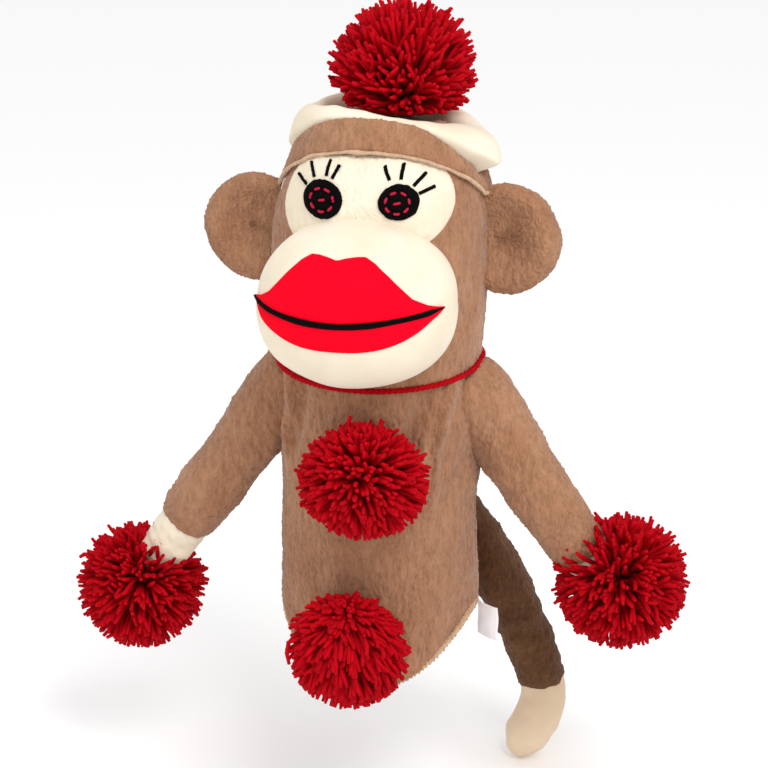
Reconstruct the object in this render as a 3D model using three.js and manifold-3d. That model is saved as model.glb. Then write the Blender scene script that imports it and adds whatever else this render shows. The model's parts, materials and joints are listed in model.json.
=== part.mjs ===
// Plush monkey glove puppet: a fabric sleeve with a stuffed head, two finger arms, a tail and five pompoms.
// Millimetres, +Z up. The origin is the centre of the hand opening at the lowest point of the hem, and the
// puppet looks along -Y, so its own left side is +X.

import * as THREE from 'three';
import { mergeVertices } from 'three/addons/utils/BufferGeometryUtils.js';
import Module from 'manifold-3d';

const wasm = await Module();
wasm.setup();

// ---- Fabric and fits ----
const gap = 0.3; // clear space between two pieces that touch
const plushWall = 1.8; // backing and pile of the brown plush
const fleeceWall = 1.4; // short-pile cream fleece
const feltWall = 1.0; // lip and eye felt
const threadWall = 0.8; // raised satin stitch
const loose = 2.0; // room beyond a piece for a cutting block
const reach = 400; // half size of a cutting block that clears the whole puppet

// ---- Torso sleeve ----
const torsoHalfWidth = 46;
const torsoDepthRatio = 0.83; // front-to-back half depth over half width
const torsoHalfDepth = torsoHalfWidth * torsoDepthRatio;
const neckHeight = 150; // nod and turn centre
const neckCloth = 19; // the torso panels stop this much below the nodding neck
const torsoTop = neckHeight - neckCloth;
const hemRise = 32; // the hem climbs this much from the front and back to the side seams
const hemBand = 3; // overlocked edge

// ---- Neck cord ----
const neckHalfWidth = torsoHalfWidth; // one straight cloth runs from the hem to the head
const cordRadius = 1.6;
const cordClearance = 0.6; // cord to neck fabric
const cordFrontDip = 9; // the cord passes below the muzzle
const cordFrontBend = 1.5; // how tightly it dips
const knotRadius = 3.2;

// ---- Head ----
const headSwell = 2.5; // the head is this much wider than the neck on each side
const headHalfWidth = neckHalfWidth + headSwell;
const headDepthRatio = 0.88;
const headHalfDepth = headHalfWidth * headDepthRatio;
const headRim = neckHeight + 3; // lower edge of the head panels
const headHeight = 98;
const headTop = headRim + headHeight;
const headWidest = headRim + 37;
const headCheek = headRim + 17; // over half of the swell is reached here
const headCheekShare = 0.55;
const domePower = 4; // squareness of the crown of the head
const fingerHoleRadius = 13;
const fingerHoleTop = headTop - 37;
const fingerHoleBevel = 4;

// ---- Face ----
const muzzle = { x: 45, y: 40, z: 38 }; // half sizes
const muzzleSunk = 2.68; // the muzzle's centre lies this much inside the head's front
const muzzleCentre = new THREE.Vector3(0, muzzleSunk - headHalfDepth, headRim + 30);
const patchThickness = 3;
const lobeRadius = 21.5;
const lobeCentreX = 17.5;
const lobeCentreZ = headTop - 24.5;
const lobeNotch = 3; // depth of the notch between the lobes
const eyeX = 16.6;
const eyeZ = lobeCentreZ + 2.1;
const eyeRadius = 8.7;
const faceDepth = 22; // pieces on the face stay in front of this depth
const stitchRingRadius = 5.2;
const stitchWidth = 0.9;
const centreStitchHalf = 1.5;
const lashInner = 10;
const lashOuter = 16;
const lashWidth = 1.1;
const lashAngles = { left: [-19, 8, 43, 67], right: [-35, -17, 18, 48] }; // leaning outward from upright

// ---- Lips, across and up from the muzzle's centre ----
const lipReach = muzzle.x * 0.893; // mouth corner
const lipCornerUp = 3; // the corners' height
const lipTipHalf = 0.6; // each lip is this thick at its corner
const lipPeakOut = muzzle.x * 0.26;
const lipPeakUp = muzzle.z * 0.697;
const lipDip = 1.5; // between the peaks
const lipDipHalf = 4;
const lipPeakRound = 2;
const lipShoulderOut = 7; // the peak slopes off here
const lipShoulderDrop = 5;
const lipFlankOut = muzzle.x * 0.733;
const lipFlankUp = 5.5;
const lipLowUp = muzzle.z * -0.355;
const lipCheekOut = muzzle.x * 0.8; // fullness of the lower lip
const lipChinOut = muzzle.x * 0.444;
const lipCheekRise = 3;
const mouthSag = 4.5; // the mouth line hangs this much below the lip corners
const mouthWidth = 2.2;
const lipDepth = 8; // the lips stay this much in front of the muzzle's centre

// ---- Ears ----
const earRadius = 24.5;
const earHeight = headRim + 52;
const earRoot = headHalfWidth + 4.5; // side distance of the ear's flat seam
const earCentreX = earRoot + 4.5;
const earHalfThickness = 6;
const earHollowRadius = 17;
const earHollowDepth = 4.2;
const earHollowOut = 2; // the hollow lies this much outside the ear's centre

// ---- Hat ----
const hatShift = 3; // the hat sits this much behind the head's axis
const hatEase = 1.5;
const hatHalfWidth = headHalfWidth + hatEase;
const hatNarrowing = 2.5; // the brim leans in by this much at its upper edge
const hatDepthRatio = 0.83;
const brimWall = 2.6;
const brimSideLow = headTop - 25; // lower edge at the sides and the back
const brimHeight = 15;
const brimFrontLow = headTop - 1.5; // lower edge in the middle of the forehead
const brimArchBack = -6; // the arch over the forehead ends at this depth
const brimBeyond = 10; // the band's cutting form runs this much past the hat's front
const rollHalfWidth = hatHalfWidth - 10.5;
const rollHalfLength = hatHalfWidth * 0.6;
const rollHalfThick = 10;
const rollHalfHeight = 12.5;
const rollCentreZ = headTop - 4;
const rollLean = 8; // degrees, right side up
const crownTop = headTop + 4.5;
const crownRadius = rollHalfWidth - 9.5;
const crownDrop = 3;
const hatPompomSize = new THREE.Vector3(33, 33, 27);
const hatPompomCentre = new THREE.Vector3(8.5, 9, crownTop + hatPompomSize.z + 6.5);

// ---- Arms ----
const shoulderOut = 1; // the shoulder joint lies this much outside the torso
const shoulderDrop = 22; // and this much below the neck
const shoulderX = torsoHalfWidth + shoulderOut;
const shoulderZ = neckHeight - shoulderDrop;
const armAngle = 54.5; // degrees below level
const armLength = 83; // shoulder to wrist
const armStart = 10;
const cuffRadius = 14.5;
const armTaper = 1.5;
const armRootRadius = cuffRadius + armTaper;
const armDepthRatio = 0.9;
const armSlotEase = 2.1; // the torso's arm gap past the sleeve, front and back
const armSlotHalfDepth = armRootRadius * armDepthRatio + armSlotEase;
const armSlotLow = shoulderZ - 2.5 * armRootRadius;
const handEase = 0.5; // hand to the sleeve's inside
const handRadius = cuffRadius - plushWall - handEase;
const handLength = { left: 17, right: 34 }; // shown past the cuff
const handDepthRatio = 0.9;
const wristBend = { left: 30, right: 0 }; // degrees, outward
const handTieLength = 7; // fingertip to pompom centre
const handPompomRadius = 31;
const wristRoom = cuffRadius + 6.5; // the pompom stays clear of the cuff by this radius

// ---- Body pompoms ----
const pompomStand = 11.82; // a body pompom's centre lies this much in front of the torso
const pompomDepth = -torsoHalfDepth - pompomStand;
const chestDrop = 44; // below the neck
const chestPompom = {
  centre: new THREE.Vector3(3, pompomDepth, neckHeight - chestDrop),
  size: new THREE.Vector3(32, 29, 29),
};
const bellyPompom = { centre: new THREE.Vector3(-2, pompomDepth, 24), size: new THREE.Vector3(30, 28, 29) };
const tieRadius = 2;

// ---- Tail ----
const tailRadius = 12.5;
const tailTipInset = 1.3; // the tip is this much thinner than the tail
const tailTipRadius = tailRadius - tailTipInset;
const tailRootGap = 3.5; // tail to the torso's back, room for the swing
const tailSewn = 0.82; // the root's centre lies this much behind the torso
const tailClear = 2.32; // the hanging tail to the torso's back
const tailDepth = torsoHalfDepth + tailClear + tailRadius;
const tailRoute = [
  new THREE.Vector3(1, torsoHalfDepth - tailRadius, 79),
  new THREE.Vector3(6, torsoHalfDepth + tailSewn, 76),
  new THREE.Vector3(12, tailDepth - 3.5, 71),
  new THREE.Vector3(24, tailDepth, 57),
  new THREE.Vector3(36, tailDepth, 39),
  new THREE.Vector3(46, tailDepth - 0.5, 20),
  new THREE.Vector3(54, tailDepth - 1, 0),
  new THREE.Vector3(60, tailDepth - 2, -16),
  new THREE.Vector3(65, tailDepth - 2.5, -31),
];
const tailJoin = tailRoute[tailRoute.length - 1];
const tailTipRoute = [
  tailJoin,
  new THREE.Vector3(66, tailDepth - 3, -40),
  new THREE.Vector3(63.5, tailDepth - 4, -49),
  new THREE.Vector3(58.5, tailDepth - 5, -56),
];

// ---- Label ----
const labelWidth = 13;
const labelHeight = 16;
const labelThickness = 1;
const labelOut = 1.6; // seam end of the label to the torso
const labelSeam = new THREE.Vector3(torsoHalfWidth + labelOut, -1.5, 26);
const labelTurn = -35; // degrees, towards the front

// ---- Facets ----
const bodySides = 24;
const limbSides = 16;
const ballSides = 16;
const muzzleSides = 20;
const knotSides = 10;
const rodSides = 8;
const domeSteps = 7;
const crownSteps = 4;
const handSteps = 5;
const cordPoints = 24;
const cordSteps = 32;
const cordSides = 6;
const rollSides = 8;

// ======== Solid helpers ========

/** A manifold solid from a closed three.js geometry. */
function solidOf(geometry) {
  const plain = geometry.clone();
  plain.deleteAttribute('normal');
  plain.deleteAttribute('uv');
  const merged = mergeVertices(plain, 1e-4);
  const corners = merged.index.array;
  const kept = [];
  for (let i = 0; i < corners.length; i += 3) {
    const [a, b, c] = corners.slice(i, i + 3);
    if (a !== b && b !== c && c !== a) kept.push(a, b, c);
  }
  const vertProperties = new Float32Array(merged.attributes.position.array);
  const mesh = new wasm.Mesh({ numProp: 3, vertProperties, triVerts: new Uint32Array(kept) });
  return new wasm.Manifold(mesh);
}

/** A three.js geometry from a manifold solid. */
function geometryOf(solid) {
  const mesh = solid.getMesh();
  const geometry = new THREE.BufferGeometry();
  geometry.setAttribute('position', new THREE.BufferAttribute(mesh.vertProperties, 3));
  geometry.setIndex(new THREE.BufferAttribute(mesh.triVerts, 1));
  const flat = geometry.toNonIndexed();
  flat.computeVertexNormals();
  return flat;
}

/** A box between two corners. */
function block(low, high) {
  const size = new THREE.Vector3().subVectors(new THREE.Vector3(...high), new THREE.Vector3(...low));
  const geometry = new THREE.BoxGeometry(size.x, size.y, size.z);
  geometry.translate(low[0] + size.x / 2, low[1] + size.y / 2, low[2] + size.z / 2);
  return solidOf(geometry);
}

/** A profile of [radius, height] points turned about +Z, flattened front to back by a ratio. */
function turned(profile, sides, depthRatio) {
  const points = profile.map(([radius, height]) => new THREE.Vector2(radius, height));
  const geometry = new THREE.LatheGeometry(points, sides);
  geometry.rotateX(Math.PI / 2);
  geometry.scale(1, depthRatio, 1);
  return geometry;
}

/** An ellipsoid about a centre, with its poles along Z. */
function ball(centre, sizeX, sizeY, sizeZ, sides = ballSides) {
  const geometry = new THREE.SphereGeometry(1, sides, Math.round(sides / 2));
  geometry.rotateX(Math.PI / 2);
  geometry.scale(sizeX, sizeY, sizeZ);
  geometry.translate(centre.x, centre.y, centre.z);
  return solidOf(geometry);
}

/** A flat X-Z outline run along Y from one depth to another. */
function runAlongY(shape, from, to, curveSegments = 8) {
  const settings = { depth: to - from, bevelEnabled: false, curveSegments };
  const geometry = new THREE.ExtrudeGeometry(shape, settings);
  geometry.rotateX(Math.PI / 2);
  geometry.translate(0, to, 0);
  return solidOf(geometry);
}

/** A round tube solid along a curve. */
function tubeAlong(curve, radius, steps, sides) {
  const section = new THREE.Shape();
  section.absarc(0, 0, radius, 0, Math.PI * 2);
  const settings = { steps, curveSegments: sides / 2, extrudePath: curve, bevelEnabled: false };
  return solidOf(new THREE.ExtrudeGeometry(section, settings));
}

/** A round rod between two points. */
function rod(from, to, radius) {
  const length = from.distanceTo(to);
  const geometry = new THREE.CylinderGeometry(radius, radius, length, rodSides);
  const direction = new THREE.Vector3().subVectors(to, from).normalize();
  const turn = new THREE.Quaternion().setFromUnitVectors(new THREE.Vector3(0, 1, 0), direction);
  geometry.applyQuaternion(turn);
  const middle = new THREE.Vector3().addVectors(from, to).multiplyScalar(0.5);
  geometry.translate(middle.x, middle.y, middle.z);
  return solidOf(geometry);
}

/** The half of space in front of (-Y) or behind (+Y) the side seams, as a large block. */
function seamHalf(side) {
  if (side === 'front') return block([-reach, -reach, -reach], [reach, -gap / 2, reach]);
  return block([-reach, gap / 2, -reach], [reach, reach, reach]);
}

// ======== Materials ========

/** Soft material of one colour. */
function soft(colour, roughness) {
  return new THREE.MeshStandardMaterial({ color: colour, roughness, metalness: 0 });
}

const brownPlush = () => soft('#ab7b5c', 0.95);
const darkPlush = () => soft('#65422b', 0.95);
const creamFleece = () => soft('#faf4e6', 0.9);
const redYarn = () => soft('#a2030f', 0.85);
const redFelt = () => soft('#f9082a', 0.85);
const blackThread = () => soft('#0c0a0a', 0.6);
const redThread = () => soft('#c4203c', 0.6);
const whiteSatin = () => soft('#f4efee', 0.5);
const whiteFill = () => soft('#f1efe9', 1.0);
const pocketLining = () => soft('#c9b9a2', 0.9);
const beigeThread = () => soft('#cdb08c', 0.8);

// ======== Shared forms ========

/** The torso's outer form between two heights, grown by an offset. */
function torsoForm(grow, low = -hemRise, high = torsoTop) {
  const radius = torsoHalfWidth + grow;
  const profile = [[0, low], [radius, low], [radius, high], [0, high]];
  return solidOf(turned(profile, bodySides, torsoDepthRatio));
}

/** The space below the hem, raised by an offset: lowest at the front and back, high at the side seams. */
function belowHem(raise) {
  const half = torsoHalfWidth + loose;
  const sideHeight = hemRise * (half / torsoHalfWidth) ** 2 + raise;
  const shape = new THREE.Shape();
  shape.moveTo(-half, -2 * hemRise);
  shape.lineTo(half, -2 * hemRise);
  shape.lineTo(half, sideHeight);
  shape.quadraticCurveTo(0, 2 * raise - sideHeight, -half, sideHeight);
  shape.closePath();
  return runAlongY(shape, -half, half);
}

/** The head's outer form, grown by an offset and closed at a lower height. */
function headForm(grow, low = headRim) {
  const profile = [[0, low], [neckHalfWidth + grow, low]];
  profile.push([neckHalfWidth + headSwell * headCheekShare + grow, headCheek]);
  for (let i = 0; i <= domeSteps; i += 1) {
    const angle = (i / domeSteps) * (Math.PI / 2);
    const across = i === domeSteps ? 0 : (headHalfWidth + grow) * Math.cos(angle) ** (2 / domePower);
    const up = (headTop - headWidest + grow) * Math.sin(angle) ** (2 / domePower);
    profile.push([across, headWidest + up]);
  }
  return solidOf(turned(profile, bodySides, headDepthRatio));
}

/** The muzzle's full rounded form, grown by an offset. */
function muzzleForm(grow) {
  return ball(muzzleCentre, muzzle.x + grow, muzzle.y + grow, muzzle.z + grow, muzzleSides);
}

/** A skin over the face of the head, inside an X-Z outline. */
function headSkin(inner, outer, outline) {
  return headForm(outer).subtract(headForm(inner)).intersect(runAlongY(outline, -reach, -faceDepth));
}

/** A skin over the front of the muzzle, inside an X-Z outline. */
function muzzleSkin(inner, outer, outline) {
  const front = runAlongY(outline, -reach, muzzleCentre.y - lipDepth);
  return muzzleForm(outer).subtract(muzzleForm(inner)).intersect(front);
}

/** A round X-Z outline. */
function roundOutline(x, z, radius) {
  const shape = new THREE.Shape();
  shape.absarc(x, z, radius, 0, Math.PI * 2);
  return shape;
}

// ======== Torso ========

/** One torso panel: half of the sleeve, open at the hem, at the arms and at the neck. */
function torsoPanel(side) {
  const shell = torsoForm(0).subtract(torsoForm(-plushWall, -hemRise - loose, torsoTop + loose));
  const slotLow = [-reach, -armSlotHalfDepth, armSlotLow];
  const slotHigh = [reach, armSlotHalfDepth, torsoTop + loose];
  return shell.subtract(belowHem(hemBand + gap)).subtract(block(slotLow, slotHigh)).intersect(seamHalf(side));
}

/** The overlocked edge that closes the hem. */
function hemOverlock() {
  const shell = torsoForm(threadWall / 2).subtract(torsoForm(-plushWall, -hemRise - loose, torsoTop + loose));
  return shell.subtract(belowHem(0)).intersect(belowHem(hemBand));
}

/** The folded care label in the side seam, blank. */
function sideLabel() {
  const geometry = new THREE.BoxGeometry(labelWidth, labelThickness, labelHeight);
  geometry.translate(labelWidth / 2, 0, 0);
  geometry.rotateZ(THREE.MathUtils.degToRad(labelTurn));
  geometry.translate(labelSeam.x, labelSeam.y, labelSeam.z);
  return solidOf(geometry);
}

// ======== Neck cord ========

/** The yarn tied round the neck, dipping below the muzzle. */
function neckCord() {
  const acrossX = neckHalfWidth + cordClearance + cordRadius;
  const acrossY = neckHalfWidth * headDepthRatio + cordClearance + cordRadius;
  const points = [];
  for (let i = 0; i < cordPoints; i += 1) {
    const angle = (i / cordPoints) * Math.PI * 2;
    const front = Math.max(0, -Math.sin(angle));
    const height = neckHeight - cordFrontDip * front ** cordFrontBend;
    points.push(new THREE.Vector3(acrossX * Math.cos(angle), acrossY * Math.sin(angle), height));
  }
  const route = new THREE.CatmullRomCurve3(points, true);
  return tubeAlong(route, cordRadius, cordSteps, cordSides);
}

/** The knot of the cord at the nape. */
function neckKnot() {
  const behind = neckHalfWidth * headDepthRatio + cordClearance + 2 * cordRadius + gap + knotRadius;
  return ball(new THREE.Vector3(0, behind, neckHeight), knotRadius, knotRadius, knotRadius, knotSides);
}

// ======== Head ========

/** One head panel: half of the head's skin. */
function headPanel(side) {
  const shell = headForm(0).subtract(headForm(-plushWall, headRim - loose));
  return shell.intersect(seamHalf(side));
}

/** The finger pocket's outer form, grown by an offset. */
function fingerForm(grow, low) {
  const radius = fingerHoleRadius + fleeceWall + grow;
  const top = fingerHoleTop + fleeceWall + grow;
  const side = top - fingerHoleBevel;
  const profile = [[0, low], [radius, low], [radius, side], [radius - fingerHoleBevel, top], [0, top]];
  return solidOf(turned(profile, limbSides, 1));
}

/** The cloth pocket that takes a finger. */
function fingerPocket() {
  return fingerForm(0, headRim).subtract(fingerForm(-fleeceWall, headRim - loose));
}

/** Stuffing between the head's skin and the finger pocket. */
function headStuffing() {
  return headForm(-plushWall - gap, headRim + loose).subtract(fingerForm(gap, headRim - loose));
}

/** The two-lobed cream eye patch's outline. */
function patchOutline(grow) {
  const radius = lobeRadius + grow;
  const bottomZ = lobeCentreZ - radius;
  const topZ = lobeCentreZ + radius;
  const shape = new THREE.Shape();
  shape.moveTo(0, bottomZ - lobeNotch);
  shape.lineTo(lobeCentreX, bottomZ);
  shape.absarc(lobeCentreX, lobeCentreZ, radius, -Math.PI / 2, Math.PI / 2, false);
  shape.lineTo(0, topZ - lobeNotch);
  shape.lineTo(-lobeCentreX, topZ);
  shape.absarc(-lobeCentreX, lobeCentreZ, radius, Math.PI / 2, (Math.PI * 3) / 2, false);
  shape.closePath();
  return shape;
}

/** The padded eye patch, tucked below the hat and behind the muzzle. */
function eyePatch() {
  return headSkin(gap, gap + patchThickness, patchOutline(0)).subtract(muzzleForm(gap));
}

/** The room that the eye patch takes below the hat. */
function patchSpace() {
  return headSkin(0, 2 * gap + patchThickness, patchOutline(2 * gap));
}

const eyeBase = 2 * gap + patchThickness; // offset of the eye's back over the head's form
const eyeTop = eyeBase + feltWall;

/** A round felt eye. */
function eyeDisc(sign) {
  return headSkin(eyeBase, eyeTop, roundOutline(sign * eyeX, eyeZ, eyeRadius));
}

/** The ring of stitches that holds the eye. */
function eyeStitchRing(sign) {
  const outline = roundOutline(sign * eyeX, eyeZ, stitchRingRadius + stitchWidth / 2);
  outline.holes.push(roundOutline(sign * eyeX, eyeZ, stitchRingRadius - stitchWidth / 2));
  return headSkin(eyeTop + gap, eyeTop + gap + threadWall, outline);
}

/** The single stitch in the middle of the eye. */
function eyeCentreStitch(sign) {
  const outline = new THREE.Shape();
  outline.moveTo(sign * eyeX - centreStitchHalf, eyeZ - stitchWidth / 2);
  outline.lineTo(sign * eyeX + centreStitchHalf, eyeZ - stitchWidth / 2);
  outline.lineTo(sign * eyeX + centreStitchHalf, eyeZ + stitchWidth / 2);
  outline.lineTo(sign * eyeX - centreStitchHalf, eyeZ + stitchWidth / 2);
  outline.closePath();
  return headSkin(eyeTop + gap, eyeTop + gap + threadWall, outline);
}

/** One straight embroidered lash, leaning outward by an angle. */
function lash(sign, degrees) {
  const angle = THREE.MathUtils.degToRad(degrees);
  const along = new THREE.Vector2(sign * Math.sin(angle), Math.cos(angle));
  const across = new THREE.Vector2(-along.y, along.x).multiplyScalar(lashWidth / 2);
  const eye = new THREE.Vector2(sign * eyeX, eyeZ);
  const near = eye.clone().addScaledVector(along, lashInner);
  const far = eye.clone().addScaledVector(along, lashOuter);
  const outline = new THREE.Shape([
    near.clone().sub(across),
    far.clone().sub(across),
    far.clone().add(across),
    near.clone().add(across),
  ]);
  return headSkin(eyeBase, eyeBase + threadWall, outline);
}

// ======== Muzzle and mouth ========

/** The cream cover of the muzzle, open against the head. */
function muzzleCover() {
  return muzzleForm(0).subtract(muzzleForm(-fleeceWall)).subtract(headForm(gap, torsoTop));
}

/** The stuffing of the muzzle. */
function muzzleStuffing() {
  return muzzleForm(-fleeceWall - gap).subtract(headForm(gap, torsoTop));
}

/** A height on the muzzle, up from its centre. */
function lipAt(up) {
  return muzzleCentre.z + up;
}

/** The mouth line's route from one corner to the other, moved up or down. */
function mouthLine(shape, offset, fromSign) {
  const corner = lipAt(lipCornerUp);
  shape.quadraticCurveTo(0, corner - 2 * mouthSag + 2 * offset, -fromSign * lipReach, corner);
}

/** The upper lip, with two peaks and a dip. */
function upperLip() {
  const peak = lipAt(lipPeakUp);
  const flank = lipAt(lipFlankUp);
  const shoulderX = lipPeakOut + lipShoulderOut;
  const shape = new THREE.Shape();
  shape.moveTo(-lipReach, lipAt(lipCornerUp + lipTipHalf));
  shape.quadraticCurveTo(-lipFlankOut, flank, -shoulderX, peak - lipShoulderDrop);
  shape.quadraticCurveTo(-lipPeakOut - lipPeakRound, peak, -lipPeakOut, peak);
  shape.quadraticCurveTo(-lipDipHalf, peak, 0, peak - lipDip);
  shape.quadraticCurveTo(lipDipHalf, peak, lipPeakOut, peak);
  shape.quadraticCurveTo(lipPeakOut + lipPeakRound, peak, shoulderX, peak - lipShoulderDrop);
  shape.quadraticCurveTo(lipFlankOut, flank, lipReach, lipAt(lipCornerUp + lipTipHalf));
  mouthLine(shape, mouthWidth / 2 + gap, 1);
  shape.closePath();
  return muzzleSkin(gap, gap + feltWall, shape);
}

/** The lower lip, a plain crescent. */
function lowerLip() {
  const corner = lipAt(lipCornerUp - lipTipHalf);
  const low = lipAt(lipLowUp);
  const shape = new THREE.Shape();
  shape.moveTo(lipReach, corner);
  shape.bezierCurveTo(lipCheekOut, low + lipCheekRise, lipChinOut, low, 0, low);
  shape.bezierCurveTo(-lipChinOut, low, -lipCheekOut, low + lipCheekRise, -lipReach, corner);
  mouthLine(shape, -mouthWidth / 2 - gap, -1);
  shape.closePath();
  return muzzleSkin(gap, gap + feltWall, shape);
}

/** The black satin stitch between the lips, thin at its ends. */
function mouthStitch() {
  const shape = new THREE.Shape();
  shape.moveTo(-lipReach, lipAt(lipCornerUp));
  mouthLine(shape, mouthWidth / 2, -1);
  mouthLine(shape, -mouthWidth / 2, 1);
  return muzzleSkin(gap, gap + feltWall + threadWall / 2, shape);
}

// ======== Ears ========

/** Half of an ear: a round puffed pad with a shallow hollow in front. */
function earHalf(sign, side) {
  const outline = roundOutline(sign * earCentreX, earHeight, earRadius);
  const disc = runAlongY(outline, -earHalfThickness, earHalfThickness);
  const hollowY = -earHalfThickness - earHollowRadius + earHollowDepth;
  const hollow = new THREE.Vector3(sign * (earCentreX + earHollowOut), hollowY, earHeight);
  const [inner, outer] = sign > 0 ? [-reach, earRoot] : [-earRoot, reach];
  const headSide = block([inner, -reach, 0], [outer, reach, reach]);
  const pad = disc.subtract(headSide).intersect(seamHalf(side));
  return pad.subtract(ball(hollow, earHollowRadius, earHollowRadius, earHollowRadius));
}

// ======== Hat ========

/** The hat's upright outer form, grown by an offset. */
function hatForm(grow) {
  const low = brimSideLow - 2 * loose;
  const high = brimFrontLow + brimHeight + loose;
  const foot = hatHalfWidth + grow;
  const side = [[0, low], [foot, low], [foot - hatNarrowing, high], [0, high]];
  const geometry = turned(side, bodySides, hatDepthRatio);
  geometry.translate(0, hatShift, 0);
  return solidOf(geometry);
}

/** The space the brim fills in side view, grown by an offset: level, then arching over the forehead. */
function brimBand(grow) {
  const front = hatShift - hatHalfWidth * hatDepthRatio;
  const slope = (brimFrontLow - brimSideLow) / (brimArchBack - front);
  const beyond = front - brimBeyond;
  const lower = [
    new THREE.Vector2(hatHalfWidth + brimBeyond, brimSideLow - grow),
    new THREE.Vector2(brimArchBack, brimSideLow - grow),
    new THREE.Vector2(beyond, brimFrontLow + slope * brimBeyond - grow),
  ];
  const rise = new THREE.Vector2(0, brimHeight + 2 * grow);
  const upper = lower.map((corner) => corner.clone().add(rise)).reverse();
  const outline = new THREE.Shape([...lower, ...upper]);
  const width = 2 * (hatHalfWidth + 2 * loose);
  const geometry = new THREE.ExtrudeGeometry(outline, { depth: width, bevelEnabled: false });
  geometry.rotateX(Math.PI / 2);
  geometry.rotateZ(Math.PI / 2);
  geometry.translate(-width / 2, 0, 0);
  return solidOf(geometry);
}

/** The brim's full ring, grown by an offset. */
function brimForm(grow) {
  return hatForm(grow).subtract(hatForm(-brimWall - grow)).intersect(brimBand(grow));
}

/** The turned-up brim, clear of the head and the eye patch. */
function hatBrim() {
  return brimForm(0).subtract(headForm(gap)).subtract(patchSpace());
}

/** The roll's ring, grown by an offset. */
function rollForm(grow) {
  const geometry = new THREE.TorusGeometry(1, (rollHalfThick + grow) / rollHalfWidth, rollSides, bodySides);
  const upright = ((rollHalfHeight + grow) * rollHalfWidth) / (rollHalfThick + grow);
  geometry.scale(rollHalfWidth, rollHalfLength, upright);
  geometry.rotateY(THREE.MathUtils.degToRad(rollLean));
  geometry.translate(0, hatShift, rollCentreZ);
  return solidOf(geometry);
}

/** The cream padded roll inside and above the brim. */
function hatRoll() {
  const ring = rollForm(0).subtract(headForm(gap)).subtract(patchSpace());
  return ring.subtract(brimForm(gap)).subtract(hatLowerSpace());
}

/** The space below the brim's upper edge and outside the brim's inner face. */
function hatLowerSpace() {
  const outside = block([-reach, -reach, headRim], [reach, reach, brimSideLow + brimHeight]);
  return outside.subtract(hatForm(-brimWall - gap));
}

/** The crown's dome above a floor, lowered by an offset. */
function crownForm(lower, floor) {
  const radius = crownRadius + lower;
  const profile = [[0, floor], [radius, floor]];
  for (let i = crownSteps; i >= 0; i -= 1) {
    const share = i / crownSteps;
    profile.push([radius * share, crownTop - lower - crownDrop * share ** 2]);
  }
  const geometry = turned(profile, bodySides, rollHalfLength / rollHalfWidth);
  geometry.translate(0, hatShift, 0);
  return solidOf(geometry);
}

/** The brown crown that closes the top of the hat. */
function hatCrown() {
  const floor = crownTop - crownDrop - plushWall;
  const skin = crownForm(0, floor).subtract(crownForm(plushWall, floor - loose));
  return skin.subtract(rollForm(gap)).subtract(headForm(gap));
}

/** The foot of the hat pompom's tie, just above the crown. */
function hatFoot() {
  return new THREE.Vector3(hatPompomCentre.x, hatPompomCentre.y, crownTop + gap);
}

// ======== Pompoms ========

/** A pompom: a ball of yarn ends, with room for the tie in its middle. */
function pompom(centre, sizes, tie) {
  return ball(centre, sizes.x, sizes.y, sizes.z).subtract(tie);
}

/** The tie that holds a pompom, from its foot to the middle of the ball. */
function pompomTie(foot, centre) {
  return rod(foot, centre, tieRadius);
}

/** The room for a tie: a little wider, and running out past both of its ends. */
function tieSpace(foot, centre) {
  const along = new THREE.Vector3().subVectors(centre, foot).normalize();
  const from = foot.clone().addScaledVector(along, -loose);
  return rod(from, centre.clone().addScaledVector(along, gap), tieRadius + gap);
}

/** The foot of a tie on the front of the torso. */
function torsoFoot(centre) {
  const across = Math.sqrt(1 - (centre.x / torsoHalfWidth) ** 2);
  return new THREE.Vector3(centre.x, -torsoHalfDepth * across - 2 * gap, centre.z);
}

/** A pompom sewn flat against the torso. */
function torsoPompom(spec) {
  const tie = tieSpace(torsoFoot(spec.centre), spec.centre);
  return pompom(spec.centre, spec.size, tie).subtract(torsoForm(2 * gap, -hemRise, neckHeight));
}

// ======== Arms ========

/** The shoulder's place on one side. */
function shoulder(sign) {
  return new THREE.Vector3(sign * shoulderX, 0, shoulderZ);
}

/** The direction of a limb that points outward and down by an angle below level. */
function outward(sign, degreesBelow) {
  const angle = THREE.MathUtils.degToRad(degreesBelow);
  return new THREE.Vector3(sign * Math.cos(angle), 0, -Math.sin(angle));
}

/** The wrist's place on one side. */
function wrist(sign) {
  return shoulder(sign).addScaledVector(outward(sign, armAngle), armLength);
}

/** A size that differs from side to side. */
function sided(sizes, sign) {
  return sign > 0 ? sizes.left : sizes.right;
}

/** The direction of a hand. */
function handDirection(sign) {
  return outward(sign, armAngle - sided(wristBend, sign));
}

/** A turned limb along a direction from a point. */
function limb(profile, from, direction, depthRatio) {
  const geometry = turned(profile, limbSides, depthRatio);
  const turn = new THREE.Quaternion().setFromUnitVectors(new THREE.Vector3(0, 0, 1), direction);
  geometry.applyQuaternion(turn);
  geometry.translate(from.x, from.y, from.z);
  return solidOf(geometry);
}

/** Half of a sleeve: a tapering tube, open to the torso and at the cuff. */
function sleeveHalf(sign, side) {
  const tube = (grow, extra) => {
    const root = armRootRadius + grow;
    const cuff = cuffRadius + grow;
    const from = armStart - extra;
    const to = armLength + extra;
    const profile = [[0, from], [root, from], [cuff, to], [0, to]];
    return limb(profile, shoulder(sign), outward(sign, armAngle), armDepthRatio);
  };
  const wristSpace = cuffRadius + 2 * gap;
  const shell = tube(0, 0).subtract(tube(-plushWall, loose));
  return shell.subtract(ball(wrist(sign), wristSpace, wristSpace, wristSpace)).intersect(seamHalf(side));
}

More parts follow.
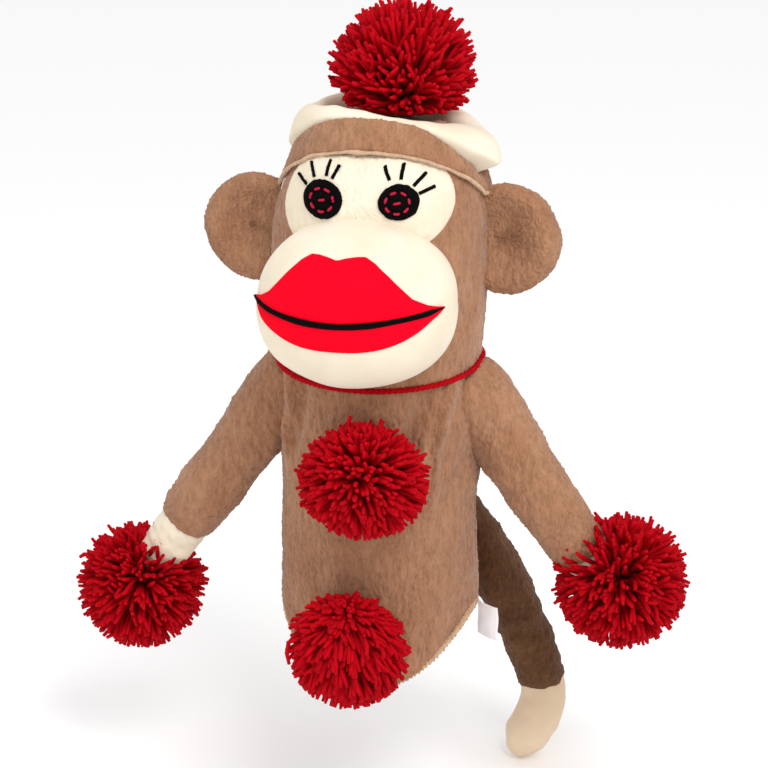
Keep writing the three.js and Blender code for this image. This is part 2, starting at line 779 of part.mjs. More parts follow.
/** The hand's form with a round end, grown by an offset. */
function handForm(sign, grow, start) {
  const radius = handRadius + grow;
  const straight = sided(handLength, sign) - handRadius;
  const profile = [[0, start], [radius, start]];
  for (let i = 0; i <= handSteps; i += 1) {
    const angle = (i / handSteps) * (Math.PI / 2);
    profile.push([i === handSteps ? 0 : radius * Math.cos(angle), straight + radius * Math.sin(angle)]);
  }
  return limb(profile, wrist(sign), handDirection(sign), handDepthRatio);
}

/** The cream hand: a finger cap sewn inside the cuff. */
function hand(sign) {
  return handForm(sign, 0, 0).subtract(handForm(sign, -fleeceWall, -loose));
}

/** The centre of the pompom on a hand. */
function handPompomCentre(sign) {
  return wrist(sign).addScaledVector(handDirection(sign), sided(handLength, sign) + handTieLength);
}

/** The foot of a hand pompom's tie, just off the fingertip. */
function handFoot(sign) {
  return wrist(sign).addScaledVector(handDirection(sign), sided(handLength, sign) + gap);
}

/** The pompom that hides the end of a hand. */
function handPompom(sign) {
  const centre = handPompomCentre(sign);
  const sizes = new THREE.Vector3(handPompomRadius, handPompomRadius, handPompomRadius);
  const tie = tieSpace(handFoot(sign), centre);
  const room = ball(wrist(sign), wristRoom, wristRoom, wristRoom);
  return pompom(centre, sizes, tie).subtract(handForm(sign, gap, -loose)).subtract(room);
}

// ======== Tail ========

const tailCurve = new THREE.CatmullRomCurve3(tailRoute);
const tipCurve = new THREE.CatmullRomCurve3(tailTipRoute);
const tailSteps = 12;
const tipSteps = 4;
const limbFacets = 10;

/** The space that the tail's root leaves free behind the torso. */
function tailRootSpace(extra) {
  return block([-reach, 0, 0], [reach, torsoHalfDepth + tailRootGap + extra, reach]);
}

/** The brown cover of the tail, a tube open at both ends. */
function tailCover() {
  const joinSpace = tailRadius + 2 * gap;
  const shell = tubeAlong(tailCurve, tailRadius, tailSteps, limbFacets);
  const inside = tubeAlong(tailCurve, tailRadius - plushWall, tailSteps, limbFacets);
  const join = ball(tailJoin, joinSpace, joinSpace, joinSpace);
  return shell.subtract(inside).subtract(tailRootSpace(0)).subtract(join);
}

/** The stuffing of the tail. */
function tailStuffing() {
  const joinSpace = tailRadius + 3 * gap;
  const fill = tubeAlong(tailCurve, tailRadius - plushWall - gap, tailSteps, limbFacets);
  return fill.subtract(tailRootSpace(loose)).subtract(ball(tailJoin, joinSpace, joinSpace, joinSpace));
}

/** The tail tip's round-ended form of one radius. */
function tipForm(radius) {
  const end = tailTipRoute[tailTipRoute.length - 1];
  return tubeAlong(tipCurve, radius, tipSteps, limbFacets).add(ball(end, radius, radius, radius));
}

/** The cream cover of the tail's tip, open towards the brown tail. */
function tailTipCover() {
  const radius = tailTipRadius - fleeceWall;
  const opening = ball(tailJoin, radius, radius, radius);
  return tipForm(tailTipRadius).subtract(tipForm(radius)).subtract(opening);
}

/** The stuffing of the tail's tip. */
function tailTipStuffing() {
  const low = tailJoin.z - gap;
  return tipForm(tailTipRadius - fleeceWall - 2 * gap).subtract(block([0, 0, low], [reach, reach, reach]));
}

// ======== Assembly ========

const puppet = new THREE.Group();
puppet.name = 'monkey_glove_puppet';

/** Adds one named piece to the puppet. */
function addPiece(name, solid, material) {
  const mesh = new THREE.Mesh(geometryOf(solid), material);
  mesh.name = name;
  puppet.add(mesh);
}

addPiece('torso_front_panel', torsoPanel('front'), brownPlush());
addPiece('torso_back_panel', torsoPanel('back'), brownPlush());
addPiece('hem_overlock', hemOverlock(), beigeThread());
addPiece('side_label', sideLabel(), whiteSatin());
addPiece('neck_cord', neckCord(), redYarn());
addPiece('neck_cord_knot', neckKnot(), redYarn());

addPiece('head_front_panel', headPanel('front'), brownPlush());
addPiece('head_back_panel', headPanel('back'), brownPlush());
addPiece('head_stuffing', headStuffing(), whiteFill());
addPiece('finger_pocket', fingerPocket(), pocketLining());
addPiece('eye_patch', eyePatch(), creamFleece());
addPiece('muzzle_cover', muzzleCover(), creamFleece());
addPiece('muzzle_stuffing', muzzleStuffing(), whiteFill());
addPiece('upper_lip', upperLip(), redFelt());
addPiece('lower_lip', lowerLip(), redFelt());
addPiece('mouth_stitch', mouthStitch(), blackThread());

addPiece('hat_brim', hatBrim(), brownPlush());
addPiece('hat_roll', hatRoll(), creamFleece());
addPiece('hat_crown', hatCrown(), brownPlush());
const hatTieSpace = tieSpace(hatFoot(), hatPompomCentre);
addPiece('hat_pompom', pompom(hatPompomCentre, hatPompomSize, hatTieSpace), redYarn());
addPiece('hat_pompom_tie', pompomTie(hatFoot(), hatPompomCentre), redYarn());

for (const [name, spec] of [['chest', chestPompom], ['belly', bellyPompom]]) {
  addPiece(`${name}_pompom`, torsoPompom(spec), redYarn());
  addPiece(`${name}_pompom_tie`, pompomTie(torsoFoot(spec.centre), spec.centre), redYarn());
}

for (const [name, sign] of [['left', 1], ['right', -1]]) {
  addPiece(`${name}_eye`, eyeDisc(sign), blackThread());
  addPiece(`${name}_eye_stitch_ring`, eyeStitchRing(sign), redThread());
  addPiece(`${name}_eye_centre_stitch`, eyeCentreStitch(sign), redThread());
  lashAngles[name].forEach((degrees, index) => {
    addPiece(`${name}_lash_${index + 1}`, lash(sign, degrees), blackThread());
  });
  addPiece(`${name}_ear_front`, earHalf(sign, 'front'), brownPlush());
  addPiece(`${name}_ear_back`, earHalf(sign, 'back'), brownPlush());
  addPiece(`${name}_sleeve_front`, sleeveHalf(sign, 'front'), brownPlush());
  addPiece(`${name}_sleeve_back`, sleeveHalf(sign, 'back'), brownPlush());
  addPiece(`${name}_hand`, hand(sign), creamFleece());
  addPiece(`${name}_hand_pompom`, handPompom(sign), redYarn());
  addPiece(`${name}_hand_pompom_tie`, pompomTie(handFoot(sign), handPompomCentre(sign)), redYarn());
}

addPiece('tail_cover', tailCover(), darkPlush());
addPiece('tail_stuffing', tailStuffing(), whiteFill());
addPiece('tail_tip_cover', tailTipCover(), creamFleece());
addPiece('tail_tip_stuffing', tailTipStuffing(), whiteFill());

export default puppet;
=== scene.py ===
"""Visual model of a plush monkey glove puppet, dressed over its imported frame.

Metres, +Z up, facing -Y. Shapes are worked out in millimetres.
"""
import json
import logging
import math
from dataclasses import dataclass, field
from enum import Enum

import bmesh
import bpy
import numpy as np
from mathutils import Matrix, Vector
from mathutils.bvhtree import BVHTree

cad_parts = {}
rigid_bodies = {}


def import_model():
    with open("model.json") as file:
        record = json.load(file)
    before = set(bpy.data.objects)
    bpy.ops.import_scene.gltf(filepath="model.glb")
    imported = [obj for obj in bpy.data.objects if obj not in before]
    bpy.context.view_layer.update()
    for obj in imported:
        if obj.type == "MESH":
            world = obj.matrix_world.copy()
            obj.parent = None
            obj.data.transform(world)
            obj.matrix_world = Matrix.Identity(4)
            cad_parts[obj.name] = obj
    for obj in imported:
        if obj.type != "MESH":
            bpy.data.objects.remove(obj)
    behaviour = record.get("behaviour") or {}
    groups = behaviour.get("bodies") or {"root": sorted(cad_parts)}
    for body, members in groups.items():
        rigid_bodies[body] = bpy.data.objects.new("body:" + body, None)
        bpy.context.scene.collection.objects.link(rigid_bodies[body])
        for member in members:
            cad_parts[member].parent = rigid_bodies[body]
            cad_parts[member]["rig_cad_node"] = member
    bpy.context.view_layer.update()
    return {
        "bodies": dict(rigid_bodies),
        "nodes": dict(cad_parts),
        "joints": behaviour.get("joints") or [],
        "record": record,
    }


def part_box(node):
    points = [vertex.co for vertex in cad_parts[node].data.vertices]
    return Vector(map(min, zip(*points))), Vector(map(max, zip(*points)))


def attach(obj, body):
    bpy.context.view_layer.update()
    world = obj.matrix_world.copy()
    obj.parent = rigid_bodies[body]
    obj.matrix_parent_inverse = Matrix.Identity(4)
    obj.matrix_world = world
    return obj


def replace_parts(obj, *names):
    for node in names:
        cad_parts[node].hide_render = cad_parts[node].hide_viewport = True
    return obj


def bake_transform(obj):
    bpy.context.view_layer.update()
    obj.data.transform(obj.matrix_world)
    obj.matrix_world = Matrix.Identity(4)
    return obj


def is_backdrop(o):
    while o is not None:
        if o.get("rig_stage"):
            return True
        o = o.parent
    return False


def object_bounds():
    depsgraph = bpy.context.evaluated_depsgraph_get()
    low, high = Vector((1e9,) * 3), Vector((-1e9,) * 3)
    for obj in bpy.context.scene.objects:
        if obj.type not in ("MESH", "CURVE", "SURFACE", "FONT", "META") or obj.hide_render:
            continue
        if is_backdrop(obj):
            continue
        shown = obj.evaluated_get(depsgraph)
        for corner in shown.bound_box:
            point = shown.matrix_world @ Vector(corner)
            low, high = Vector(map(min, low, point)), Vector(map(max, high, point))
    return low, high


log = logging.getLogger("puppet")

MM = 0.001
TURN = 2 * math.pi
UP = np.array([0, 0, 1.0])
PUFF_FRAMES = 20
HAT_PULL = (198, 264)
Points = np.ndarray


# ---- Small measures ----


class Side(Enum):
    """The puppet's own sides; the value is the sign of X."""

    LEFT = 1
    RIGHT = -1

    @property
    def word(self) -> str:
        """The side's name as the frame writes it."""
        return self.name.lower()


def box_mm(*nodes: str) -> tuple[Points, Points]:
    """Lowest and highest corner of some frame nodes together, in millimetres.

    Args:
        nodes: names of frame nodes.

    Returns:
        The two corners.
    """
    boxes = [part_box(node) for node in nodes]
    low = np.min([np.array(low) for low, _ in boxes], axis=0) / MM
    high = np.max([np.array(high) for _, high in boxes], axis=0) / MM
    return low, high


def pivot_mm(frame: dict, joint: str) -> Points:
    """The place of a frame joint, in millimetres."""
    found = next(j for j in frame["joints"] if j["name"] == joint)
    return np.array(found["pos_m"], float) / MM


def detail(full: int) -> int:
    """A mesh count: always the full one, for the finished look."""
    return full


def smooth_step(value: Points, low: float, high: float) -> Points:
    """Rises softly from 0 at low to 1 at high."""
    share = np.clip((value - low) / (high - low), 0.0, 1.0)
    return share * share * (3 - 2 * share)


def angles(count: int) -> Points:
    """Evenly spaced angles round one full turn."""
    return np.linspace(0, TURN, count, endpoint=False)


def outward_ways(angle: Points) -> Points:
    """Level directions that point away from the Z axis."""
    return np.stack([np.cos(angle), np.sin(angle), 0 * angle], axis=-1)


def squared_off(value: Points, power: Points | float) -> Points:
    """Raises the size of a value to a power and keeps its sign."""
    return np.sign(value) * np.abs(value) ** power


def waves(places: Points, length: float, seed: int, count: int = 14,
          stretch: tuple = (1, 1, 1)) -> Points:
    """Soft seeded unevenness over space.

    Args:
        places: points in millimetres, with the coordinate last.
        length: size of one wave in millimetres.
        seed: which pattern.
        count: how many waves are summed.
        stretch: how much longer the waves are along each axis.

    Returns:
        One value a point, mostly within -1 to 1.
    """
    rng = np.random.default_rng(seed)
    ways = rng.normal(size=(count, 3))
    ways /= np.linalg.norm(ways, axis=1, keepdims=True)
    pitch = TURN / (length * rng.uniform(0.7, 1.5, (count, 1)))
    phase = rng.uniform(0, TURN, count)
    turns = places @ (ways * pitch / np.array(stretch)).T + phase
    return np.cos(turns).sum(axis=-1) / math.sqrt(count / 2) * 0.6


def normals_of(grid: Points, closed: bool = True) -> Points:
    """Unit normals of a grid of points whose columns run round a piece.

    Args:
        grid: points in millimetres, row by row.
        closed: whether the last column meets the first.

    Returns:
        One normal a point.
    """
    if closed:
        across = np.roll(grid, -1, axis=1) - np.roll(grid, 1, axis=1)
    else:
        across = np.gradient(grid, axis=1)
    along = np.gradient(grid, axis=0)
    normal = np.cross(across, along)
    size = np.linalg.norm(normal, axis=-1, keepdims=True)
    return normal / np.maximum(size, 1e-9)


def leaned(grid: Points, share: float = 0.2) -> Points:
    """Draws the upper head in on the puppet's right, where the hat pulls it tight.

    Args:
        grid: points in millimetres, row by row.
        share: how much narrower the top becomes.

    Returns:
        The moved points.
    """
    pull = share * smooth_step(grid[..., 2], *HAT_PULL) * (grid[..., 0] < 0)
    moved = grid.copy()
    moved[..., 0] = grid[..., 0] * (1 - pull)
    return moved


# ---- Meshes ----


def mesh_piece(name: str, places: Points, faces: list, depth: Points | None = None) -> bpy.types.Object:
    """A smooth mesh object from points in millimetres.

    Args:
        name: name of the piece.
        places: one row a vertex.
        faces: vertex numbers of each face.
        depth: a shade value from 0 to 1 a vertex, kept for the finishes.

    Returns:
        The new object, in the scene.
    """
    mesh = bpy.data.meshes.new(name)
    mesh.from_pydata((places * MM).tolist(), [], faces)
    mesh.polygons.foreach_set("use_smooth", [True] * len(mesh.polygons))
    piece = bpy.data.objects.new(name, mesh)
    bpy.context.scene.collection.objects.link(piece)
    keep_rest(piece, depth)
    return piece


def keep_rest(piece: bpy.types.Object, depth: Points | None = None) -> None:
    """Stores each vertex's rest place in millimetres, and its shade, for the finishes.

    Args:
        piece: the piece to work on.
        depth: the shade of each vertex, or None for full shade.
    """
    mesh = piece.data
    rest = np.zeros(len(mesh.vertices) * 3)
    mesh.vertices.foreach_get("co", rest)
    place = mesh.attributes.new("rest_place", "FLOAT_VECTOR", "POINT")
    place.data.foreach_set("vector", (rest / MM).astype(np.float32))
    shade = mesh.attributes.new("shade", "FLOAT", "POINT")
    values = np.ones(len(mesh.vertices)) if depth is None else depth
    shade.data.foreach_set("value", values.astype(np.float32))


def quads(rows: int, columns: int, wrap_rows: bool = False, wrap_columns: bool = True) -> list:
    """Faces of a grid of vertices stored row by row.

    Args:
        rows: rows of the grid.
        columns: columns of the grid.
        wrap_rows: whether the last row meets the first.
        wrap_columns: whether the last column meets the first.

    Returns:
        Vertex numbers of each face.
    """
    faces = []
    last_row = rows if wrap_rows else rows - 1
    last_column = columns if wrap_columns else columns - 1
    for r in range(last_row):
        low = r * columns
        high = ((r + 1) % rows) * columns
        for c in range(last_column):
            d = (c + 1) % columns
            faces.append((low + c, low + d, high + d, high + c))
    return faces


def fix_normals(piece: bpy.types.Object) -> bpy.types.Object:
    """Merges doubled corners and turns every face outward.

    Args:
        piece: the piece to work on.

    Returns:
        The same piece.
    """
    work = bmesh.new()
    work.from_mesh(piece.data)
    bmesh.ops.remove_doubles(work, verts=work.verts, dist=1e-6)
    bmesh.ops.recalc_face_normals(work, faces=work.faces)
    work.to_mesh(piece.data)
    work.free()
    return piece


def closed_grid(name: str, grid: Points) -> bpy.types.Object:
    """A piece whose grid is closed both ways, such as a lined sleeve or a ring."""
    rows, columns, _ = grid.shape
    return fix_normals(mesh_piece(name, grid.reshape(-1, 3), quads(rows, columns, wrap_rows=True)))


def capped_grid(name: str, grid: Points) -> bpy.types.Object:
    """A piece whose grid is closed round and capped at both ends.

    Args:
        name: name of the piece.
        grid: points in millimetres, row by row.

    Returns:
        The new piece.
    """
    rows, columns, _ = grid.shape
    places = grid.reshape(-1, 3)
    faces = quads(rows, columns)
    ends = np.array([grid[0].mean(axis=0), grid[-1].mean(axis=0)])
    top = (rows - 1) * columns
    for c in range(columns):
        d = (c + 1) % columns
        faces.append((rows * columns, d, c))
        faces.append((rows * columns + 1, top + c, top + d))
    return fix_normals(mesh_piece(name, np.vstack([places, ends]), faces))


def two_skins(name: str, top: Points, under: Points) -> bpy.types.Object:
    """A thin closed piece from two grids of one size, joined along their rim.

    Args:
        name: name of the piece.
        top: the outer grid.
        under: the inner grid.

    Returns:
        The new piece.
    """
    rows, columns, _ = top.shape
    front = quads(rows, columns, wrap_columns=False)
    shift = rows * columns
    faces = front + [tuple(shift + v for v in reversed(face)) for face in front]
    rim = [r * columns for r in range(rows)]
    rim += [(rows - 1) * columns + c for c in range(1, columns)]
    rim += [r * columns + columns - 1 for r in range(rows - 2, -1, -1)]
    rim += list(range(columns - 2, 0, -1))
    faces += [(v, w, w + shift, v + shift) for v, w in zip(rim, rim[1:] + rim[:1])]
    places = np.vstack([top.reshape(-1, 3), under.reshape(-1, 3)])
    return fix_normals(mesh_piece(name, places, faces))


def lined(outer: Points, wall: float) -> Points:
    """A closed grid from an outer skin: it turns round its last row and comes back inside by the wall.

    Args:
        outer: the outer skin.
        wall: thickness of the cloth.

    Returns:
        The closed grid.
    """
    inner = outer - normals_of(outer) * wall
    step = 3
    return np.concatenate([outer, inner[::-1][::step]])


def follow(route: Points, count: int) -> Points:
    """Evenly spaced points on a smooth curve through some places.

    Args:
        route: the places the curve goes through.
        count: how many points.

    Returns:
        The points.
    """
    padded = np.vstack([2 * route[0] - route[1], route, 2 * route[-1] - route[-2]])
    fine = []
    for i in range(1, len(padded) - 2):
        a, b, c, d = padded[i - 1 : i + 3]
        t = np.linspace(0, 1, 24, endpoint=False)[:, None]
        fine.append(0.5 * (2 * b + (c - a) * t + (2 * a - 5 * b + 4 * c - d) * t**2
                           + (3 * b - a - 3 * c + d) * t**3))
    fine.append(padded[-2][None])
    line = np.vstack(fine)
    run = np.concatenate([[0], np.cumsum(np.linalg.norm(np.diff(line, axis=0), axis=1))])
    wanted = np.linspace(0, run[-1], count)
    return np.stack([np.interp(wanted, run, line[:, k]) for k in range(3)], axis=1)


def rings_along(line: Points, radii: Points, columns: int, flat: float = 1.0) -> Points:
    """Rings of a limb along a curve that lies roughly in a plane of constant Y.

    Args:
        line: centre of each ring.
        radii: radius of each ring.
        columns: points round a ring.
        flat: front-to-back size over the other one.

    Returns:
        A grid of points, ring by ring.
    """
    along = np.gradient(line, axis=0)
    along /= np.linalg.norm(along, axis=1, keepdims=True)
    depth = np.array([0.0, 1.0, 0.0])
    side = np.cross(depth, along)
    side /= np.linalg.norm(side, axis=1, keepdims=True)
    other = np.cross(along, side)
    angle = angles(columns)
    across = side[:, None] * np.cos(angle)[None, :, None]
    over = other[:, None] * (flat * np.sin(angle))[None, :, None]
    return line[:, None] + (across + over) * radii[:, None, None]


@dataclass(frozen=True)
class Fold:
    """A soft crease in cloth between two places: a ridge, with a valley beside it."""

    start: tuple
    end: tuple
    width: float
    rise: float

    def push(self, places: Points) -> Points:
        """How far the fold lifts each place, in millimetres.

        Args:
            places: points in millimetres.

        Returns:
            One lift a place.
        """
        a, b = np.array(self.start, float), np.array(self.end, float)
        run = b - a
        share = ((places - a) @ run) / (run @ run)
        nearest = a + np.clip(share, 0, 1)[..., None] * run
        away = np.linalg.norm(places - nearest, axis=-1)
        fade = np.sin(np.clip(share, 0.02, 0.98) * math.pi) ** 0.5
        ring = (away / self.width) ** 2
        return self.rise * fade * (1 - 0.55 * ring) * np.exp(-ring)


def piled(grid: Points, height: float, seed: int, lean: tuple = (1, 1, 2.6)) -> Points:
    """Lifts a grid by its pile: small soft tufts that lean down the cloth.

    Args:
        grid: points in millimetres, row by row.
        height: height of the pile.
        seed: which random pattern.
        lean: how much longer the tufts are along each axis.

    Returns:
        The lifted points.
    """
    rng = np.random.default_rng(seed)
    tufts = waves(grid, 2.2, seed, 22, lean) + 0.6 * waves(grid, 1.1, seed + 1, 22, lean)
    stray = rng.normal(0, 0.22, grid.shape[:2])
    lift = height * (0.5 * tufts + stray)
    return grid + normals_of(grid) * lift[..., None]


# ---- Finishes ----


def linear(red: int, green: int, blue: int) -> tuple:
    """A display colour as linear light.

    Args:
        red: from 0 to 255.
        green: from 0 to 255.
        blue: from 0 to 255.

    Returns:
        Red, green, blue and 1.
    """
    shares = [v / 255 for v in (red, green, blue)]
    light = [s / 12.92 if s <= 0.04045 else ((s + 0.055) / 1.055) ** 2.4 for s in shares]
    return (*light, 1.0)


class Bench:
    """Adds and joins the shader nodes of one material."""

    def __init__(self, name: str) -> None:
        """Starts a material with a plain surface.

        Args:
            name: name of the material.
        """
        self.material = bpy.data.materials.new(name)
        self.material.use_nodes = True
        self.tree = self.material.node_tree
        self.surface = self.tree.nodes["Principled BSDF"]

    def add(self, kind: str, settings: dict | None = None, **inputs: object) -> bpy.types.Node:
        """Adds a node.

        Args:
            kind: the node's type.
            settings: its own settings.
            inputs: socket values or links, by name with spaces written as underscores.

        Returns:
            The node.
        """
        node = self.tree.nodes.new(kind)
        for key, value in (settings or {}).items():
            setattr(node, key, value)
        for key, value in inputs.items():
            self.put(node.inputs[key.replace("_", " ")], value)
        return node

    def put(self, socket: bpy.types.NodeSocket, value: object) -> None:
        """Links a socket to another one, or sets its value.

        Args:
            socket: the socket to fill.
            value: a socket or a plain value.
        """
        if isinstance(value, bpy.types.NodeSocket):
            self.tree.links.new(value, socket)
        else:
            socket.default_value = value

    def rest_place(self, stretch: tuple = (1, 1, 1)) -> bpy.types.NodeSocket:
        """Rest place of the surface in millimetres, squeezed along each axis.

        Args:
            stretch: scale along each axis.

        Returns:
            The place, as a link.
        """
        place = self.add("ShaderNodeAttribute", {"attribute_name": "rest_place"})
        mapping = self.add("ShaderNodeMapping", Vector=place.outputs["Vector"])
        mapping.inputs["Scale"].default_value = stretch
        return mapping.outputs["Vector"]

    def noise(self, size: float, depth: float = 2.0, stretch: tuple = (1, 1, 1)) -> bpy.types.NodeSocket:
        """Noise whose blots are about size millimetres."""
        node = self.add("ShaderNodeTexNoise", Vector=self.rest_place(stretch), Scale=1 / size, Detail=depth)
        return node.outputs["Fac"]

    def spread(self, value: bpy.types.NodeSocket, low: float, high: float) -> bpy.types.NodeSocket:
        """Stretches a value so that low becomes 0 and high becomes 1.

        Args:
            value: the value to stretch.
            low: what becomes 0.
            high: what becomes 1.

        Returns:
            The stretched value, as a link.
        """
        node = self.add("ShaderNodeMapRange")
        self.put(node.inputs["Value"], value)
        node.inputs["From Min"].default_value = low
        node.inputs["From Max"].default_value = high
        return node.outputs["Result"]

    def blend(self, share: object, first: object, second: object) -> bpy.types.NodeSocket:
        """Mixes two colours by a share.

        Args:
            share: how much of the second.
            first: colour at 0.
            second: colour at 1.

        Returns:
            The mixed colour, as a link.
        """
        node = self.add("ShaderNodeMix", {"data_type": "RGBA"})
        self.put(node.inputs[0], share)
        self.put(node.inputs[6], first)
        self.put(node.inputs[7], second)
        return node.outputs[2]

    def math(self, operation: str, first: object, second: object) -> bpy.types.NodeSocket:
        """One arithmetic step.

        Args:
            operation: the step's name.
            first: first number.
            second: second number.

        Returns:
            The result, as a link.
        """
        node = self.add("ShaderNodeMath", {"operation": operation})
        self.put(node.inputs[0], first)
        self.put(node.inputs[1], second)
        return node.outputs[0]

    def bump(self, height: bpy.types.NodeSocket, strength: float, distance: float,
             before: object = None) -> object:
        """A bump in millimetres, on top of an earlier one.

        Args:
            height: the relief.
            strength: from 0 to 1.
            distance: depth in millimetres.
            before: an earlier bump, or None.

        Returns:
            The bumped normal, as a link.
        """
        node = self.add("ShaderNodeBump", Height=height, Strength=strength, Distance=distance * MM)
        if before is not None:
            self.put(node.inputs["Normal"], before)
        return node.outputs["Normal"]

    def finish(self, colour: object, roughness: object, normal: object, sheen: float,
               shine: float = 0.2) -> bpy.types.Material:
        """Joins the results to the surface.

        Args:
            colour: base colour.
            roughness: from 0 to 1.
            normal: the last bump.
            sheen: strength of the sheen.
            shine: strength of the mirror part.

        Returns:
            The finished material.
        """
        self.put(self.surface.inputs["Base Color"], colour)
        self.put(self.surface.inputs["Roughness"], roughness)
        self.put(self.surface.inputs["Normal"], normal)
        self.surface.inputs["Sheen Weight"].default_value = sheen
        self.surface.inputs["Sheen Roughness"].default_value = 0.45
        self.surface.inputs["Specular IOR Level"].default_value = shine
        return self.material


@dataclass(frozen=True)
class PlushFinish:
    """Short brown pile: heathered, brushed in soft patches, with painted shade between the tufts."""

    name: str
    main: tuple
    # deep: colour of the painted shade between the tufts
    deep: tuple
    tips: tuple
    sheen: float = 0.25

    def material(self) -> bpy.types.Material:
        """Builds the material.

        Returns:
            The material.
        """
        bench = Bench(self.name)
        down = (1.0, 1.0, 0.35)
        patch = bench.spread(bench.noise(14, 3, (1, 1, 0.6)), 0.36, 0.66)
        tuft = bench.spread(bench.noise(2.4, 3, down), 0.34, 0.66)
        hair = bench.spread(bench.noise(0.7, 3, down), 0.3, 0.7)
        colour = bench.blend(bench.math("MULTIPLY", patch, 0.45), self.main, self.tips)
        # painted shade: the low places of the tuft relief are mixed towards the deep colour
        painted_tuft_shade = bench.math("MULTIPLY", bench.math("SUBTRACT", 1.0, tuft), 0.4)
        colour = bench.blend(painted_tuft_shade, colour, self.deep)
        colour = bench.blend(bench.math("MULTIPLY", hair, 0.4), colour, self.tips)
        worn = bench.spread(bench.noise(40, 2), 0.3, 0.7)
        rough = bench.math("ADD", 0.86, bench.math("MULTIPLY", worn, 0.12))
        normal = bench.bump(tuft, 0.55, 0.7)
        normal = bench.bump(hair, 0.6, 0.3, normal)
        return bench.finish(colour, rough, normal, self.sheen)


@dataclass(frozen=True)
class FleeceFinish:
    """Smooth short fleece with a fine nap and faint soiling."""

    name: str
    main: tuple
    warm: tuple
    sheen: float = 0.15

    def material(self) -> bpy.types.Material:
        """Builds the material.

        Returns:
            The material.
        """
        bench = Bench(self.name)
        cloud = bench.spread(bench.noise(22, 2), 0.3, 0.72)
        nap = bench.noise(0.9, 4)
        fluff = bench.noise(3.2, 3)
        colour = bench.blend(cloud, self.main, self.warm)
        shade = bench.math("MULTIPLY", bench.spread(nap, 0.25, 0.6), 0.12)
        colour = bench.blend(shade, colour, self.main)
        rough = bench.math("ADD", 0.82, bench.math("MULTIPLY", cloud, 0.1))
        normal = bench.bump(fluff, 0.25, 0.4)
        normal = bench.bump(nap, 0.35, 0.18, normal)
        return bench.finish(colour, rough, normal, self.sheen)


@dataclass(frozen=True)
class YarnFinish:
    """Twisted wool yarn with random brighter patches, partly painted highlight, and painted shade towards
    the heart of its bundle.
    """

    name: str
    main: tuple
    # deep: colour of the painted shade in the bundle, and of the darker fibres
    deep: tuple
    # bright: random brighter yarn tone, partly painted highlight
    bright: tuple
    sheen: float = 0.12

    def material(self) -> bpy.types.Material:
        """Builds the material.

        Returns:
            The material.
        """
        bench = Bench(self.name)
        shade = bench.add("ShaderNodeAttribute", {"attribute_name": "shade"}).outputs["Fac"]
        fibre = bench.noise(0.5, 3)
        tone = bench.spread(bench.noise(5, 2), 0.35, 0.65)
        # random brighter patches of yarn tone, partly painted highlight
        colour = bench.blend(bench.math("MULTIPLY", tone, 0.45), self.main, self.bright)
        colour = bench.blend(bench.math("MULTIPLY", bench.spread(fibre, 0.3, 0.7), 0.35), colour, self.deep)
        # painted shade: the shade attribute mixes the yarn towards its deep colour
        colour = bench.blend(shade, self.deep, colour)
        rough = bench.math("ADD", 0.68, bench.math("MULTIPLY", fibre, 0.2))
        normal = bench.bump(fibre, 0.6, 0.25)
        return bench.finish(colour, rough, normal, self.sheen, 0.08)


@dataclass(frozen=True)
class FeltFinish:
    """Pressed felt: matt, with a fine tangle of fibres."""

    name: str
    main: tuple
    deep: tuple
    sheen: float = 0.0

    def material(self) -> bpy.types.Material:
        """Builds the material.

        Returns:
            The material.
        """
        bench = Bench(self.name)
        tangle = bench.noise(0.6, 4)
        cloud = bench.spread(bench.noise(9, 2), 0.35, 0.7)
        colour = bench.blend(bench.math("MULTIPLY", cloud, 0.35), self.main, self.deep)
        rough = bench.math("ADD", 0.78, bench.math("MULTIPLY", tangle, 0.15))
        return bench.finish(colour, rough, bench.bump(tangle, 0.4, 0.2), self.sheen, 0.04)


@dataclass(frozen=True)
class ThreadFinish:
    """Satin stitch: slightly glossy thread lying side by side, with painted sheen as fine lighter streaks.
    """

    name: str
    main: tuple
    # light: colour of the painted sheen streaks
    light: tuple
    gloss: float = 0.45

    def material(self) -> bpy.types.Material:
        """Builds the material.

        Returns:
            The material.
        """
        bench = Bench(self.name)
        strand = bench.noise(0.35, 3)
        cloud = bench.noise(3, 2)
        # painted sheen: fine lighter streaks mixed towards the light colour
        light = bench.math("MULTIPLY", bench.spread(strand, 0.35, 0.75), 0.4)
        colour = bench.blend(light, self.main, self.light)
        rough = bench.math("ADD", self.gloss, bench.math("MULTIPLY", cloud, 0.2))
        return bench.finish(colour, rough, bench.bump(strand, 0.4, 0.12), 0.0, 0.06)


